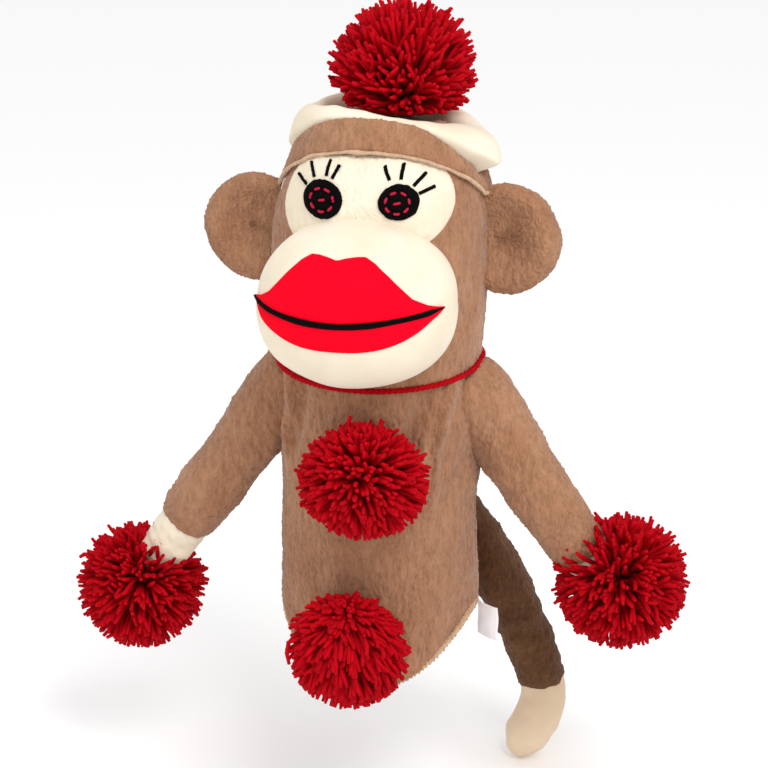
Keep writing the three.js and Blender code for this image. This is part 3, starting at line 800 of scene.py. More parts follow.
class Finishes:
    """Every finish of the puppet, made once."""

    def __init__(self) -> None:
        """Builds the materials by the frame's slot names."""
        plush = PlushFinish("brown_plush", linear(156, 108, 78), linear(94, 58, 38),
                            linear(188, 143, 110))
        # painted shade: the tail's plush is the brown plush made much darker, the tail's own dark brown
        # plus the shadow it hangs in behind the body
        tail = PlushFinish("tail_plush", linear(88, 57, 36), linear(48, 29, 18),
                           linear(120, 82, 54), 0.12)
        cream = FleeceFinish("cream_fleece", linear(236, 225, 205), linear(226, 212, 187))
        # painted shade: a darker copy of the cream fleece for the tail's tip
        tip = FleeceFinish("tip_fleece", linear(226, 202, 174), linear(214, 188, 158))
        yarn = YarnFinish("red_yarn", linear(192, 0, 17), linear(118, 0, 8), linear(220, 3, 30), 0.0)
        felt = FeltFinish("red_felt", linear(240, 4, 34), linear(222, 2, 28))
        black = ThreadFinish("black_thread", linear(4, 3, 4), linear(14, 12, 13), 0.7)
        red = ThreadFinish("red_thread", linear(176, 22, 52), linear(206, 50, 76))
        beige = PlushFinish("beige_thread", linear(196, 160, 128), linear(140, 104, 76),
                            linear(222, 192, 160))
        label = ThreadFinish("label_satin", linear(240, 236, 236), linear(252, 250, 250), 0.4)
        fill = FleeceFinish("white_fill", linear(236, 234, 228), linear(226, 222, 214))
        lining = FleeceFinish("pocket_lining", linear(196, 178, 152), linear(180, 160, 134))
        made = (plush, tail, cream, tip, yarn, felt, black, red, beige, label, fill, lining)
        self.by_slot = {finish.name: finish.material() for finish in made}

    def dress(self, piece: bpy.types.Object, slot: str, shaded_copy: str = "") -> bpy.types.Object:
        """Gives a piece the finish of a slot, or a darker copy of it with painted shade in its place.

        Args:
            piece: the piece to dress.
            slot: the frame's slot.
            shaded_copy: a copy of this slot's finish with painted shade, or nothing.

        Returns:
            The same piece.
        """
        piece.data.materials.clear()
        piece.data.materials.append(self.by_slot[shaded_copy or slot])
        return piece


# ---- Soft bodies ----


def puffed(piece: bpy.types.Object, held: Points, pressure: float, limit: float) -> bpy.types.Object:
    """Blows a closed cloth piece up a little, so that it wrinkles along the places where it is sewn down.

    Args:
        piece: a closed mesh piece.
        held: True for each vertex that is sewn down.
        pressure: the stuffing's push.
        limit: how far a vertex may move, in millimetres.

    Returns:
        The same piece with its new shape.
    """
    mesh = piece.data
    start = np.zeros(len(mesh.vertices) * 3)
    mesh.vertices.foreach_get("co", start)
    group = piece.vertex_groups.new(name="sewn")
    group.add(np.flatnonzero(held).tolist(), 1.0, "REPLACE")
    cloth = piece.modifiers.new("Cloth", "CLOTH")
    settings = cloth.settings
    settings.quality = 4
    settings.mass = 0.15
    settings.tension_stiffness = 12
    settings.compression_stiffness = 12
    settings.bending_stiffness = 0.4
    settings.use_pressure = True
    settings.uniform_pressure_force = pressure
    settings.vertex_group_mass = group.name
    settings.effector_weights.gravity = 0
    cloth.point_cache.frame_start = 1
    cloth.point_cache.frame_end = PUFF_FRAMES
    scene = bpy.context.scene
    for number in range(1, PUFF_FRAMES + 1):
        scene.frame_set(number)
    view = piece.evaluated_get(bpy.context.evaluated_depsgraph_get())
    moved = np.zeros(len(view.data.vertices) * 3)
    view.data.vertices.foreach_get("co", moved)
    piece.modifiers.clear()
    scene.frame_set(1)
    step = (moved - start).reshape(-1, 3)
    size = np.linalg.norm(step, axis=1, keepdims=True)
    step *= np.minimum(1.0, limit * MM / np.maximum(size, 1e-12))
    mesh.vertices.foreach_set("co", (start.reshape(-1, 3) + step).ravel())
    mesh.update()
    return piece


def soft_copy(name: str, node: str, voxel: float, lump: float, seed: int) -> bpy.types.Object:
    """A lumpy soft piece in the place of a hidden frame node.

    Args:
        name: name of the new piece.
        node: the frame node it stands for.
        voxel: size of its mesh in millimetres.
        lump: height of its lumps in millimetres.
        seed: which pattern of lumps.

    Returns:
        The new piece.
    """
    source = bpy.data.objects[node]
    piece = bpy.data.objects.new(name, source.data.copy())
    bpy.context.scene.collection.objects.link(piece)
    remesh = piece.modifiers.new("Remesh", "REMESH")
    remesh.mode = "VOXEL"
    remesh.voxel_size = voxel * MM
    graph = bpy.context.evaluated_depsgraph_get()
    mesh = bpy.data.meshes.new_from_object(piece.evaluated_get(graph))
    piece.modifiers.clear()
    piece.data = mesh
    count = len(mesh.vertices)
    places, normals = np.zeros(count * 3), np.zeros(count * 3)
    mesh.vertices.foreach_get("co", places)
    mesh.vertices.foreach_get("normal", normals)
    places = places.reshape(-1, 3) / MM
    lift = lump * (waves(places, 7, seed) - 1.2)
    mesh.vertices.foreach_set("co", ((places + normals.reshape(-1, 3) * lift[:, None]) * MM).ravel())
    mesh.polygons.foreach_set("use_smooth", [True] * len(mesh.polygons))
    keep_rest(piece)
    return piece


class Ground:
    """Finds the front of pieces that other ones are sewn on."""

    def __init__(self, *pieces: bpy.types.Object) -> None:
        """Takes the pieces as they are now.

        Args:
            pieces: what others are sewn on.
        """
        self.trees = []
        for piece in pieces:
            places = [v.co[:] for v in piece.data.vertices]
            faces = [p.vertices[:] for p in piece.data.polygons]
            self.trees.append(BVHTree.FromPolygons(places, faces))

    def front(self, x: float, z: float) -> float:
        """Depth of the front face at a place, in millimetres.

        Args:
            x: side place in millimetres.
            z: height in millimetres.

        Returns:
            The depth, or 0 where nothing is met.
        """
        start, ahead = Vector((x * MM, -0.3, z * MM)), Vector((0, 1, 0))
        hits = [tree.ray_cast(start, ahead)[0] for tree in self.trees]
        found = [hit.y / MM for hit in hits if hit is not None]
        return min(found) if found else 0.0

    def depths(self, across: Points, up: Points) -> Points:
        """Front depth of many places."""
        return np.vectorize(self.front, otypes=[float])(across, up)


def sewn_pad(name: str, across: Points, up: Points, lift: Points, ground: Ground,
             sink: float) -> bpy.types.Object:
    """A closed thin piece that lies on the front of others.

    Args:
        name: name of the piece.
        across: X of a grid of places.
        up: Z of the same places.
        lift: how far each place stands off the ground; the first and last row and column are the edge.
        ground: what the piece lies on.
        sink: how deep its edge goes into the ground.

    Returns:
        The new piece.
    """
    depth = ground.depths(across, up)
    grid = np.stack([across, depth, up], axis=-1)
    outward = -normals_of(grid, closed=False)
    flip = np.sign(outward[..., 1:2])
    outward = outward * np.where(flip == 0, 1, -flip)
    top = grid + outward * lift[..., None]
    low = grid - outward * sink
    return two_skins(name, top, low)


# ---- Torso ----


@dataclass
class Torso:
    """The open plush sleeve of the body, up to the neck cord.

    Attributes:
        wall: thickness of the cloth.
        hem_rise: how much higher the hem is at the sides.
        neck_height: height of the neck cord at the nape.
        cord_dip: how much lower the cord is under the chin.
        cord_bend: how sharply it dips.
        hem_bend: how sharply the hem curves.
        pile: height of the pile.
        folds: the soft creases of the cloth.
    """

    wall: float = 1.8
    hem_rise: float = 32.0
    neck_height: float = 150.0
    cord_dip: float = 7.4
    cord_bend: float = 0.8
    hem_bend: float = 2.5
    pile: float = 0.55
    half_width: float = field(init=False)
    half_depth: float = field(init=False)
    folds: tuple = (
        Fold((-33, -28, 152), (-38.5, -19, 100), 3.6, 4.6),
        Fold((-25, -33, 150), (-33, -26, 112), 4.0, -4.4),
        Fold((41, -18, 152), (21, -36, 94), 4.6, 5.2),
        Fold((31, -30, 144), (16, -37, 104), 5.0, -4.2),
        Fold((-37, -24, 152), (-35, -24, 104), 2.3, -2.8),
        Fold((37, -22, 152), (25, -34, 98), 2.4, -3.2),
        Fold((34, -26, 142), (31, -28, 84), 2.8, 2.4),
        Fold((44, -10, 112), (36, -24, 84), 6.5, -1.8),
        Fold((36, -24, 62), (12, -38, 8), 11.0, 1.7),
        Fold((44, -8, 40), (34, -26, 4), 9.0, -1.6),
        Fold((-44, -6, 60), (-38, -22, 30), 8.0, -1.2),
        Fold((-20, 34, 140), (-34, 24, 100), 7.0, 1.8),
        Fold((22, 34, 138), (34, 24, 96), 7.0, 1.8),
        Fold((0, 38, 96), (-14, 37, 52), 12.0, 1.2),
    )

    def __post_init__(self) -> None:
        """Takes the sleeve's size from the frame."""
        low, high = box_mm("torso_front_panel", "torso_back_panel")
        self.half_width = (high[0] - low[0]) / 2
        self.half_depth = (high[1] - low[1]) / 2

    def hem(self, across: Points) -> Points:
        """Height of the hem at a side distance."""
        return self.hem_rise * np.abs(across / self.half_width) ** self.hem_bend

    def neck(self, angle: Points) -> Points:
        """Height of the neck cord at an angle round the neck."""
        dip = self.cord_dip * np.maximum(0, -np.sin(angle)) ** self.cord_bend
        return self.neck_height - dip

    def cloth(self) -> bpy.types.Object:
        """The body's cloth, turned in at the hem.

        Returns:
            The new piece.
        """
        rows, columns = detail(184), detail(388)
        angle = np.linspace(TURN, 0, columns, endpoint=False)
        share = np.linspace(0, 1, rows)[:, None]
        low = self.hem(self.half_width * np.cos(angle)) + 1.2
        high = self.neck(angle) - 0.4
        up = high + (low - high) * share
        neck_in = 0.6 * smooth_step(up, 140, 149)
        x = (self.half_width - neck_in) * np.cos(angle)
        y = (self.half_depth - neck_in) * np.sin(angle)
        y = y + 2.0 * smooth_step(up, 110, 149) * np.sin(angle)
        grid = np.stack([x, y, up], axis=-1)
        soft = 1.1 * waves(grid, 70, 3) + 0.45 * waves(grid, 26, 4)
        for fold in self.folds:
            soft = soft + fold.push(grid)
        seam = np.exp(-((np.abs(np.sin(angle)) * self.half_depth / 1.3) ** 2))
        soft = soft - 0.9 * seam
        soft = soft * smooth_step(150.0 - up, -1, 9)
        grid = grid + normals_of(grid) * soft[..., None]
        grid = piled(grid, self.pile, 11)
        piece = closed_grid("torso_cloth", lined(grid, self.wall))
        return piece

    def hem_edge(self) -> bpy.types.Object:
        """The overlocked edge: loops of thread wound over the raw edge.

        Returns:
            The new piece.
        """
        steps, sides = detail(720), 8
        angle = angles(steps)
        x = (self.half_width - 0.7) * np.cos(angle)
        y = (self.half_depth - 0.7) * np.sin(angle)
        middle = np.stack([x, y, self.hem(x) + 1.1], axis=-1)
        round_ = angles(sides)
        loop = 1 + 0.28 * np.cos(angle * 150)[:, None]
        rng = np.random.default_rng(5)
        loop = loop * (1 + 0.12 * rng.normal(size=(steps, sides)))
        outward = outward_ways(angle)
        ring = middle[:, None] + outward[:, None] * (1.25 * np.cos(round_) * loop)[..., None]
        ring = ring + UP * (1.5 * np.sin(round_) * loop)[..., None]
        piece = closed_grid("hem_edge", ring)
        return piece

    def build(self, finishes: Finishes) -> None:
        """Makes and dresses the sleeve.

        Args:
            finishes: the puppet's finishes.
        """
        cloth = finishes.dress(self.cloth(), "brown_plush")
        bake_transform(cloth)
        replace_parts(cloth, "torso_front_panel", "torso_back_panel")
        edge = finishes.dress(self.hem_edge(), "beige_thread")
        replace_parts(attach(edge, "torso"), "hem_overlock")
        log.info("torso: %s, %s", cloth.name, edge.name)


@dataclass
class Label:
    """The folded care label in the side seam, left blank."""

    thickness: float = 0.9

    def build(self, frame: dict, finishes: Finishes) -> None:
        """Makes the folded strip from the seam outward, slightly curled.

        Args:
            frame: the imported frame.
            finishes: the puppet's finishes.
        """
        low, high = box_mm("side_label")
        root = pivot_mm(frame, "label_flap")
        tip = np.array([high[0], low[1], root[2]])
        run = tip - root
        rows, columns = 40, 30
        share = np.linspace(0, 1, rows)
        up = np.linspace(low[2], high[2], columns)
        along = run / np.linalg.norm(run)
        across = np.cross(along, [0, 0, 1])
        curl = 1.6 * np.sin(share * 2.6)
        middle = root + np.outer(share, run) + np.outer(curl, across)
        grid = middle[:, None] + UP * (up - root[2])[None, :, None]
        grid = grid + across * (0.25 * waves(grid, 9, 31))[..., None]
        half = self.thickness / 2
        top, under = grid + across * half, grid - across * half
        piece = two_skins("label_strip", top, under)
        finishes.dress(piece, "label_satin")
        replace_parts(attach(piece, "label"), "side_label")
        log.info("label: %s", piece.name)


# ---- Yarn ----


def yarn_tubes(lines: Points, radius: Points, sides: int, shade: Points) -> tuple[Points, list, Points]:
    """Round-ended tubes along many lines at once.

    Args:
        lines: strands by points by 3, in millimetres.
        radius: one radius a strand and point.
        sides: corners round a strand.
        shade: one shade a strand and point.

    Returns:
        Vertices, faces and the shade of each vertex.
    """
    count, steps, _ = lines.shape
    along = np.gradient(lines, axis=1)
    along /= np.linalg.norm(along, axis=2, keepdims=True)
    helper = np.where(np.abs(along[:, :1, 2:3]) < 0.8, [[[0, 0, 1.0]]], [[[1.0, 0, 0]]])
    side = np.cross(along, np.broadcast_to(helper, along.shape))
    side /= np.linalg.norm(side, axis=2, keepdims=True)
    other = np.cross(along, side)
    angle = angles(sides)
    ring = side[:, :, None] * np.cos(angle)[:, None] + other[:, :, None] * np.sin(angle)[:, None]
    places = lines[:, :, None] + ring * radius[:, :, None, None]
    block = steps * sides
    one = quads(steps, sides)
    faces = []
    for s in range(count):
        first = s * block
        faces += [tuple(first + v for v in face) for face in one]
        faces.append(tuple(first + v for v in range(sides - 1, -1, -1)))
        faces.append(tuple(first + block - sides + v for v in range(sides)))
    tone = np.repeat(shade[:, :, None], sides, axis=2)
    return places.reshape(-1, 3), faces, tone.ravel()


def even_directions(count: int, seed: int) -> Points:
    """Directions spread evenly over a sphere, slightly shuffled.

    Args:
        count: how many.
        seed: which random pattern.

    Returns:
        Unit vectors.
    """
    rng = np.random.default_rng(seed)
    number = np.arange(count) + 0.5
    up = 1 - 2 * number / count
    turn = number * math.pi * (3 - math.sqrt(5))
    flat = np.sqrt(1 - up**2)
    ways = np.stack([flat * np.cos(turn), flat * np.sin(turn), up], axis=1)
    ways += rng.normal(0, 0.11, ways.shape)
    return ways / np.linalg.norm(ways, axis=1, keepdims=True)


@dataclass
class Pompom:
    """A bundle of cut yarn strands that fans out from its tie.

    Attributes:
        node: the frame's ball that the strands stand for.
        body: the body they ride on.
        seed: which random pattern.
        away: a direction that the strands mostly follow, or zeros for all round.
        keep: how far from that direction a strand may point, as a cosine.
        root: where the strands start, or None for the ball's middle.
        strands: how many.
        yarn: radius of a strand in millimetres.
        sink: how much lower the ball's bottom lies than the frame's, in millimetres.
        lower: how much lower its top lies.
        outward: sign of X of the side that the strands end on, 0 for the body's middle.
        shift: how far the ball is moved, in millimetres.
        shrink: how much it is drawn in on each side, in millimetres.
        droop: how far the ends hang down, as a share of a strand.
        curl: how far the ends bend sideways, as a share of a strand.
        stray: share of strands that are a little longer.
    """

    node: str
    body: str
    seed: int
    away: tuple = (0, 0, 0)
    keep: float = -1.0
    root: tuple | None = None
    strands: int = 880
    yarn: float = 1.02
    sink: float = 0.0
    lower: float = 0.0
    outward: int = 0
    shift: tuple = (0.0, 0.0, 0.0)
    shrink: float = 0.0
    droop: float = 0.06
    curl: float = 0.2
    stray: float = 0.10

    def build(self, finishes: Finishes) -> None:
        """Makes the strands, from the tie to the ball's surface.

        Args:
            finishes: the puppet's finishes.
        """
        low, high = self.ball()
        centre, half = (low + high) / 2, (high - low) / 2
        heart = centre if self.root is None else np.array(self.root, float)
        rng = np.random.default_rng(self.seed)
        ways = even_directions(detail(self.strands), self.seed)
        if any(self.away):
            away = np.array(self.away, float) / np.linalg.norm(self.away)
            ways = ways[ways @ away > self.keep]
        ends = centre + ways * half
        run = ends - heart
        count = len(run)
        length = rng.normal(0.965, 0.025, (count, 1)) + (rng.random((count, 1)) < self.stray) * 0.04
        run = run * length
        size = np.linalg.norm(run, axis=1, keepdims=True)
        sideways = np.cross(run / size, rng.normal(size=run.shape))
        wiggle = np.cross(run / size, rng.normal(size=run.shape))
        steps = detail(9)
        share = np.linspace(0.12, 1, steps)[None, :, None]
        line = heart + run[:, None] * share
        bend = self.curl * rng.uniform(-1, 1, (count, 1, 1))
        swing = 0.05 * np.sin(share * 5 + rng.uniform(0, 6, (count, 1, 1)))
        line = line + sideways[:, None] * size[:, None] * share**2 * bend
        line = line + wiggle[:, None] * size[:, None] * swing
        line = line - UP * (self.droop * size[:, None] * share**2)
        size = np.linalg.norm((line - centre) / half, axis=-1, keepdims=True)
        line = centre + (line - centre) * np.minimum(1, 1.05 / np.maximum(size, 0.01))
        line = self.kept_off(line, low, high)
        thick = self.yarn * rng.uniform(0.88, 1.1, (count, 1)) * np.ones((1, steps))
        thick[:, -1] *= 0.72
        # painted shade: strands darken towards the tie, inside the bundle, times a random tone for each
        # strand
        shade = np.clip((share[..., 0] - 0.3) / 0.5, 0.05, 1) * rng.uniform(0.72, 1.0, (count, 1))
        places, faces, tone = yarn_tubes(line, thick, detail(7), shade * np.ones((count, steps)))
        piece = mesh_piece(self.node.replace("_pompom", "_pompom_yarn"), places, faces, tone)
        finishes.dress(piece, "red_yarn")
        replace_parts(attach(piece, self.body), self.node, f"{self.node}_tie")
        log.info("pompom: %s, %d strands", piece.name, count)

    def ball(self) -> tuple[Points, Points]:
        """Lowest and highest corner of the whole ball.

        Returns:
            The two corners.
        """
        low, high = box_mm(self.node)
        low[2] -= self.sink
        high[2] -= self.lower
        if self.outward:
            size = (high[1] - low[1]) * np.ones(3)
            high[2] = low[2] + size[2]
            if self.outward > 0:
                low[0] = high[0] - size[0]
            else:
                high[0] = low[0] + size[0]
        squeeze = np.array([1.0, 0.5, 1.0]) * self.shrink
        return low + self.shift + squeeze, high + self.shift - squeeze

    def kept_off(self, line: Points, low: Points, high: Points) -> Points:
        """Keeps the strands in front of the cloth they are sewn to.

        Args:
            line: the strands, point by point.
            low: lowest corner of the ball.
            high: highest corner of the ball.

        Returns:
            The moved points.
        """
        if self.body == "torso":
            torso_low, torso_high = box_mm("torso_front_panel", "torso_back_panel")
            share = np.clip(np.abs(line[..., 0]) / torso_high[0], 0, 1)
            front = torso_low[1] * np.sqrt(1 - share**2)
            line[..., 1] = np.minimum(line[..., 1], front - 1.3 * self.yarn)
        if self.body == "hat_ball":
            middle = (low + high) / 2
            away = np.hypot(line[..., 0] - middle[0], line[..., 1] - middle[1])
            crest = box_mm("hat_crown")[1][2] + 3.0 - 0.06 * line[..., 0] * smooth_step(away, 14, 26)
            lowest = crest + 3.0 * smooth_step(away, 14, 24) - 6.0 * smooth_step(away, 34, 40)
            line[..., 2] = np.maximum(line[..., 2], lowest + self.yarn)
        return line


@dataclass
class NeckYarn:
    """The yarn tied round the neck, two plies twisted together, knotted at the nape."""

    ply: float = 0.85
    twist: float = 0.55
    inset: float = 2.8
    turns: int = 58

    def build(self, torso: Torso, finishes: Finishes) -> None:
        """Makes the ring, the knot and its two short ends.

        Args:
            torso: the body's sleeve.
            finishes: the puppet's finishes.
        """
        low, high = box_mm("neck_cord")
        half = (high - low) / 2
        steps = detail(420)
        angle = np.linspace(0, TURN, steps + 1)
        up = torso.neck(angle)
        x = (half[0] - self.inset) * np.cos(angle)
        y = (half[1] - self.inset - 0.4) * np.sin(angle)
        middle = np.stack([x, y, up], axis=-1)
        outward = outward_ways(angle)
        lines = []
        for start in (0.0, math.pi):
            twist = angle * self.turns + start
            ply = middle + outward * (self.twist * np.cos(twist))[:, None]
            lines.append(ply + np.array([0, 0, self.twist]) * np.sin(twist)[:, None])
        ring = np.array(lines)
        shade = np.full(ring.shape[:2], 0.75)
        places, faces, tone = yarn_tubes(ring, np.full(ring.shape[:2], self.ply), 8, shade)
        knot_low, knot_high = box_mm("neck_cord_knot")
        knot = (knot_low + knot_high) / 2
        knot[1] = half[1] - self.inset + 0.9
        bow = []
        for sign in (-1, 1):
            route = np.array([
                knot + [-sign * 3.0, -0.8, 0.6], knot + [0, 1.4, 1.5 * sign],
                knot + [sign * 2.4, 0.2, -0.4],
                knot + [sign * 4.2, 0.6, -6], knot + [sign * 6.5, 0.4, -13],
            ])
            bow.append(follow(route, 24))
        lines = np.array(bow)
        more, more_faces, more_tone = yarn_tubes(lines, np.full(lines.shape[:2], 1.5), 8,
                                                 np.full(lines.shape[:2], 0.8))
        faces = faces + [tuple(v + len(places) for v in face) for face in more_faces]
        piece = mesh_piece("neck_yarn", np.vstack([places, more]), faces, np.concatenate([tone, more_tone]))
        finishes.dress(piece, "red_yarn")
        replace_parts(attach(piece, "neck"), "neck_cord", "neck_cord_knot")
        log.info("neck: %s", piece.name)


# ---- Head ----


@dataclass
class Head:
    """The stuffed head: its cover, the finger pocket and the stuffing."""

    widest: float = 190.0
    wall: float = 1.8
    pile: float = 0.5
    dome_power: float = 4.6
    neck_half: float = 46.0
    cover: bpy.types.Object = field(init=False)

    def profile(self, up: Points, half: float, top: float) -> Points:
        """Half width of the head at a height.

        Args:
            up: heights.
            half: half width at the widest place.
            top: height of the top.

        Returns:
            Half widths.
        """
        below = self.neck_half + (half - self.neck_half) * smooth_step(up, 148, self.widest)
        share = np.clip((up - self.widest) / (top - self.widest), 0, 1)
        above = half * (1 - share**self.dome_power) ** (1 / self.dome_power)
        return np.where(up <= self.widest, below, above)

    def build(self, torso: Torso, finishes: Finishes) -> None:
        """Makes and dresses the cover and what is inside it.

        Args:
            torso: the body's sleeve.
            finishes: the puppet's finishes.
        """
        low, high = box_mm("head_front_panel", "head_back_panel")
        half, ratio = (high[0] - low[0]) / 2, (high[1] - low[1]) / (high[0] - low[0])
        rows, columns = detail(170), detail(400)
        angle = np.linspace(TURN, 0, columns, endpoint=False)
        share = np.sin(np.linspace(0, math.pi / 2, rows))[:, None]
        rim = torso.neck(angle) + 0.4
        up = rim + (high[2] - rim) * share
        across = self.profile(up, half, high[2])
        across[-1] = 0.4
        grid = np.stack([across * np.cos(angle), across * ratio * np.sin(angle), up], axis=-1)[::-1]
        grid = leaned(grid)
        soft = 0.9 * waves(grid, 60, 21) + 0.35 * waves(grid, 20, 22)
        soft = soft + Fold((47, -8, 200), (46, -14, 160), 3.0, 0.9).push(grid)
        soft = soft * smooth_step(grid[..., 2], 148, 160)
        grid = grid + normals_of(grid) * soft[..., None]
        grid = piled(grid, self.pile, 23)
        inner = (grid - normals_of(grid) * self.wall)[::-3]
        self.cover = capped_grid("head_cloth", np.concatenate([grid, inner]))
        finishes.dress(self.cover, "brown_plush")
        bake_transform(self.cover)
        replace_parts(self.cover, "head_front_panel", "head_back_panel")
        pocket = soft_copy("finger_pocket_cloth", "finger_pocket", 0.9, 0.12, 24)
        finishes.dress(pocket, "pocket_lining")
        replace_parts(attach(pocket, "head"), "finger_pocket")
        fill = finishes.dress(soft_copy("head_fill", "head_stuffing", 2.2, 0.8, 25), "white_fill")
        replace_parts(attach(fill, "head"), "head_stuffing")
        log.info("head: %s, %s, %s", self.cover.name, pocket.name, fill.name)


@dataclass
class Face:
    """The muzzle, the lips, the eye patch, the eyes and the lashes."""

    lip_corner: tuple = (41.2, 186.5)
    lip_peak: tuple = (11.7, 208.6)
    lip_shift: float = 1.2
    lip_low: float = 169.5
    mouth_sag: float = 5.2
    mouth_width: float = 2.5
    felt: float = 1.0
    eye_shift: tuple = (2.0, -1.2)
    lash_shift: dict = field(default_factory=lambda: {Side.LEFT: (0.8, -1.6), Side.RIGHT: (2.0, -1.2)})
    lash_turn: dict = field(default_factory=lambda: {Side.LEFT: 0.0, Side.RIGHT: math.radians(10)})
    dash_share: float = 0.6
    dashes: int = 7
    patch_rise: float = 3.6
    patch_lobe: float = 21.5
    muzzle_depth: float = 40.0
    eye_half: dict = field(default_factory=lambda: {Side.LEFT: (8.2, 7.5), Side.RIGHT: (9.4, 8.3)})
    muzzle: bpy.types.Object = field(init=False)
    patch: bpy.types.Object = field(init=False)

    def build_muzzle(self, finishes: Finishes) -> None:
        """The padded muzzle, blown up inside the seam that sews it to the head.

        Args:
            finishes: the puppet's finishes.
        """
        low, high = box_mm("muzzle_cover")
        centre = np.array([0, 0, (low[2] + high[2]) / 2])
        half = np.array([(high[0] - low[0]) / 2, 0, (high[2] - low[2]) / 2])
        half[1] = self.muzzle_depth
        centre[1] = low[1] + half[1]
        rows, columns = detail(54), detail(108)
        polar = np.linspace(0.02, math.pi - 0.02, rows)[:, None]
        angle = angles(columns)[None]
        unit = np.stack([np.sin(polar) * np.cos(angle), -np.cos(polar) * np.ones_like(angle),
                         np.sin(polar) * np.sin(angle)], axis=-1)
        chin = np.where(unit[..., 2:3] < 0, 0.86, 1.0)
        unit = squared_off(unit, np.concatenate([np.ones_like(chin), chin, chin], axis=-1))
        grid = centre + unit * (half - 0.8)
        grid = grid + unit * (0.5 * waves(grid, 34, 41))[..., None]
        piece = capped_grid("muzzle_pad", grid)
        depth = np.array([v.co.y for v in piece.data.vertices]) / MM
        puffed(piece, depth > centre[1] + 4, 3.0, 1.6)
        smooth = piece.modifiers.new("Subdivision", "SUBSURF")
        smooth.levels = smooth.render_levels = detail(2)
        mesh = bpy.data.meshes.new_from_object(piece.evaluated_get(bpy.context.evaluated_depsgraph_get()))
        piece.modifiers.clear()
        piece.data = mesh
        for old in ("rest_place", "shade"):
            mesh.attributes.remove(mesh.attributes[old])
        keep_rest(piece)
        finishes.dress(piece, "cream_fleece")
        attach(piece, "head")
        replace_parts(piece, "muzzle_cover")
        fill = finishes.dress(soft_copy("muzzle_fill", "muzzle_stuffing", 2.4, 0.8, 42), "white_fill")
        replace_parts(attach(fill, "head"), "muzzle_stuffing")
        self.muzzle = piece
        log.info("muzzle: %s, %s", piece.name, fill.name)

    def mouth(self, across: Points) -> Points:
        """Height of the mouth line."""
        share = np.clip(np.abs(across) / self.lip_corner[0], 0, 1)
        return self.lip_corner[1] - self.mouth_sag * (1 - share**2)

    def lip_top(self, across: Points) -> Points:
        """Height of the upper lip's edge: two peaks, a dip, and straight flanks.

        Args:
            across: side distance from the middle.

        Returns:
            Heights.
        """
        known_x = [0, 4, 8, self.lip_peak[0], 16, 21.6, 31, 36.5, self.lip_corner[0]]
        top = self.lip_peak[1]
        known_z = [top - 1.7, top - 0.7, top - 0.1, top, top - 2.4, top - 7.3, 191.7, 188.4]
        known_z.append(self.lip_corner[1])
        shift = self.lip_shift * (1 - np.clip(np.abs(across) / self.lip_corner[0], 0, 1) ** 2)
        return np.interp(np.abs(across + shift), known_x, known_z)

    def lip_bottom(self, across: Points) -> Points:
        """Height of the lower lip's edge: a wide crescent.

        Args:
            across: side distance from the middle.

        Returns:
            Heights.
        """
        share = np.clip(np.abs(across) / self.lip_corner[0], 0, 1)
        drop = (1 - share**2.6) ** 0.8
        return self.lip_corner[1] - (self.lip_corner[1] - self.lip_low) * drop

    def build_lips(self, finishes: Finishes) -> None:
        """Both felt lips and the black stitches between them.

        Args:
            finishes: the puppet's finishes.
        """
        ground = Ground(self.muzzle)
        reach = self.lip_corner[0]
        x = np.sin(np.linspace(-math.pi / 2, math.pi / 2, detail(120))) * reach * 0.999
        share = np.linspace(0, 1, detail(26))[:, None]
        edge = np.minimum(1, np.minimum(share, 1 - share) * 9 + 0.12)
        for name, low, high in (
            ("upper_lip_felt", self.mouth(x), self.lip_top(x)),
            ("lower_lip_felt", self.lip_bottom(x), self.mouth(x)),
        ):
            up = low + (high - low) * share
            across = x + 0 * share
            lift = self.felt * np.sqrt(edge) * (1 + 0.25 * np.sin(share * math.pi)) + 0 * across
            piece = finishes.dress(sewn_pad(name, across, up, lift, ground, 0.8), "red_felt")
            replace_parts(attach(piece, "head"), name.replace("_felt", ""))
            log.info("lips: %s", piece.name)
        self.build_mouth_line(finishes, ground)

    def build_mouth_line(self, finishes: Finishes, ground: Ground) -> None:
        """Short black stitches side by side along the mouth.

        Args:
            finishes: the puppet's finishes.
            ground: what the piece lies on.
        """
        steps = detail(360)
        x = np.linspace(-1, 1, steps) * (self.lip_corner[0] - 0.6)
        taper = np.clip((1 - np.abs(x) / self.lip_corner[0]) * 9, 0.25, 1)
        share = np.linspace(-0.5, 0.5, 7)[:, None]
        up = self.mouth(x) + share * self.mouth_width * taper
        ridge = 0.18 * np.abs(np.sin(np.arange(steps) * math.pi / 4))
        lift = self.felt + 0.25 + 0.75 * np.cos(share * math.pi) + ridge * np.ones_like(share)
        piece = sewn_pad("mouth_stitches", x + 0 * share, up, lift, ground, -0.5)
        finishes.dress(piece, "black_thread")
        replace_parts(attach(piece, "head"), "mouth_stitch")
        log.info("mouth: %s", piece.name)

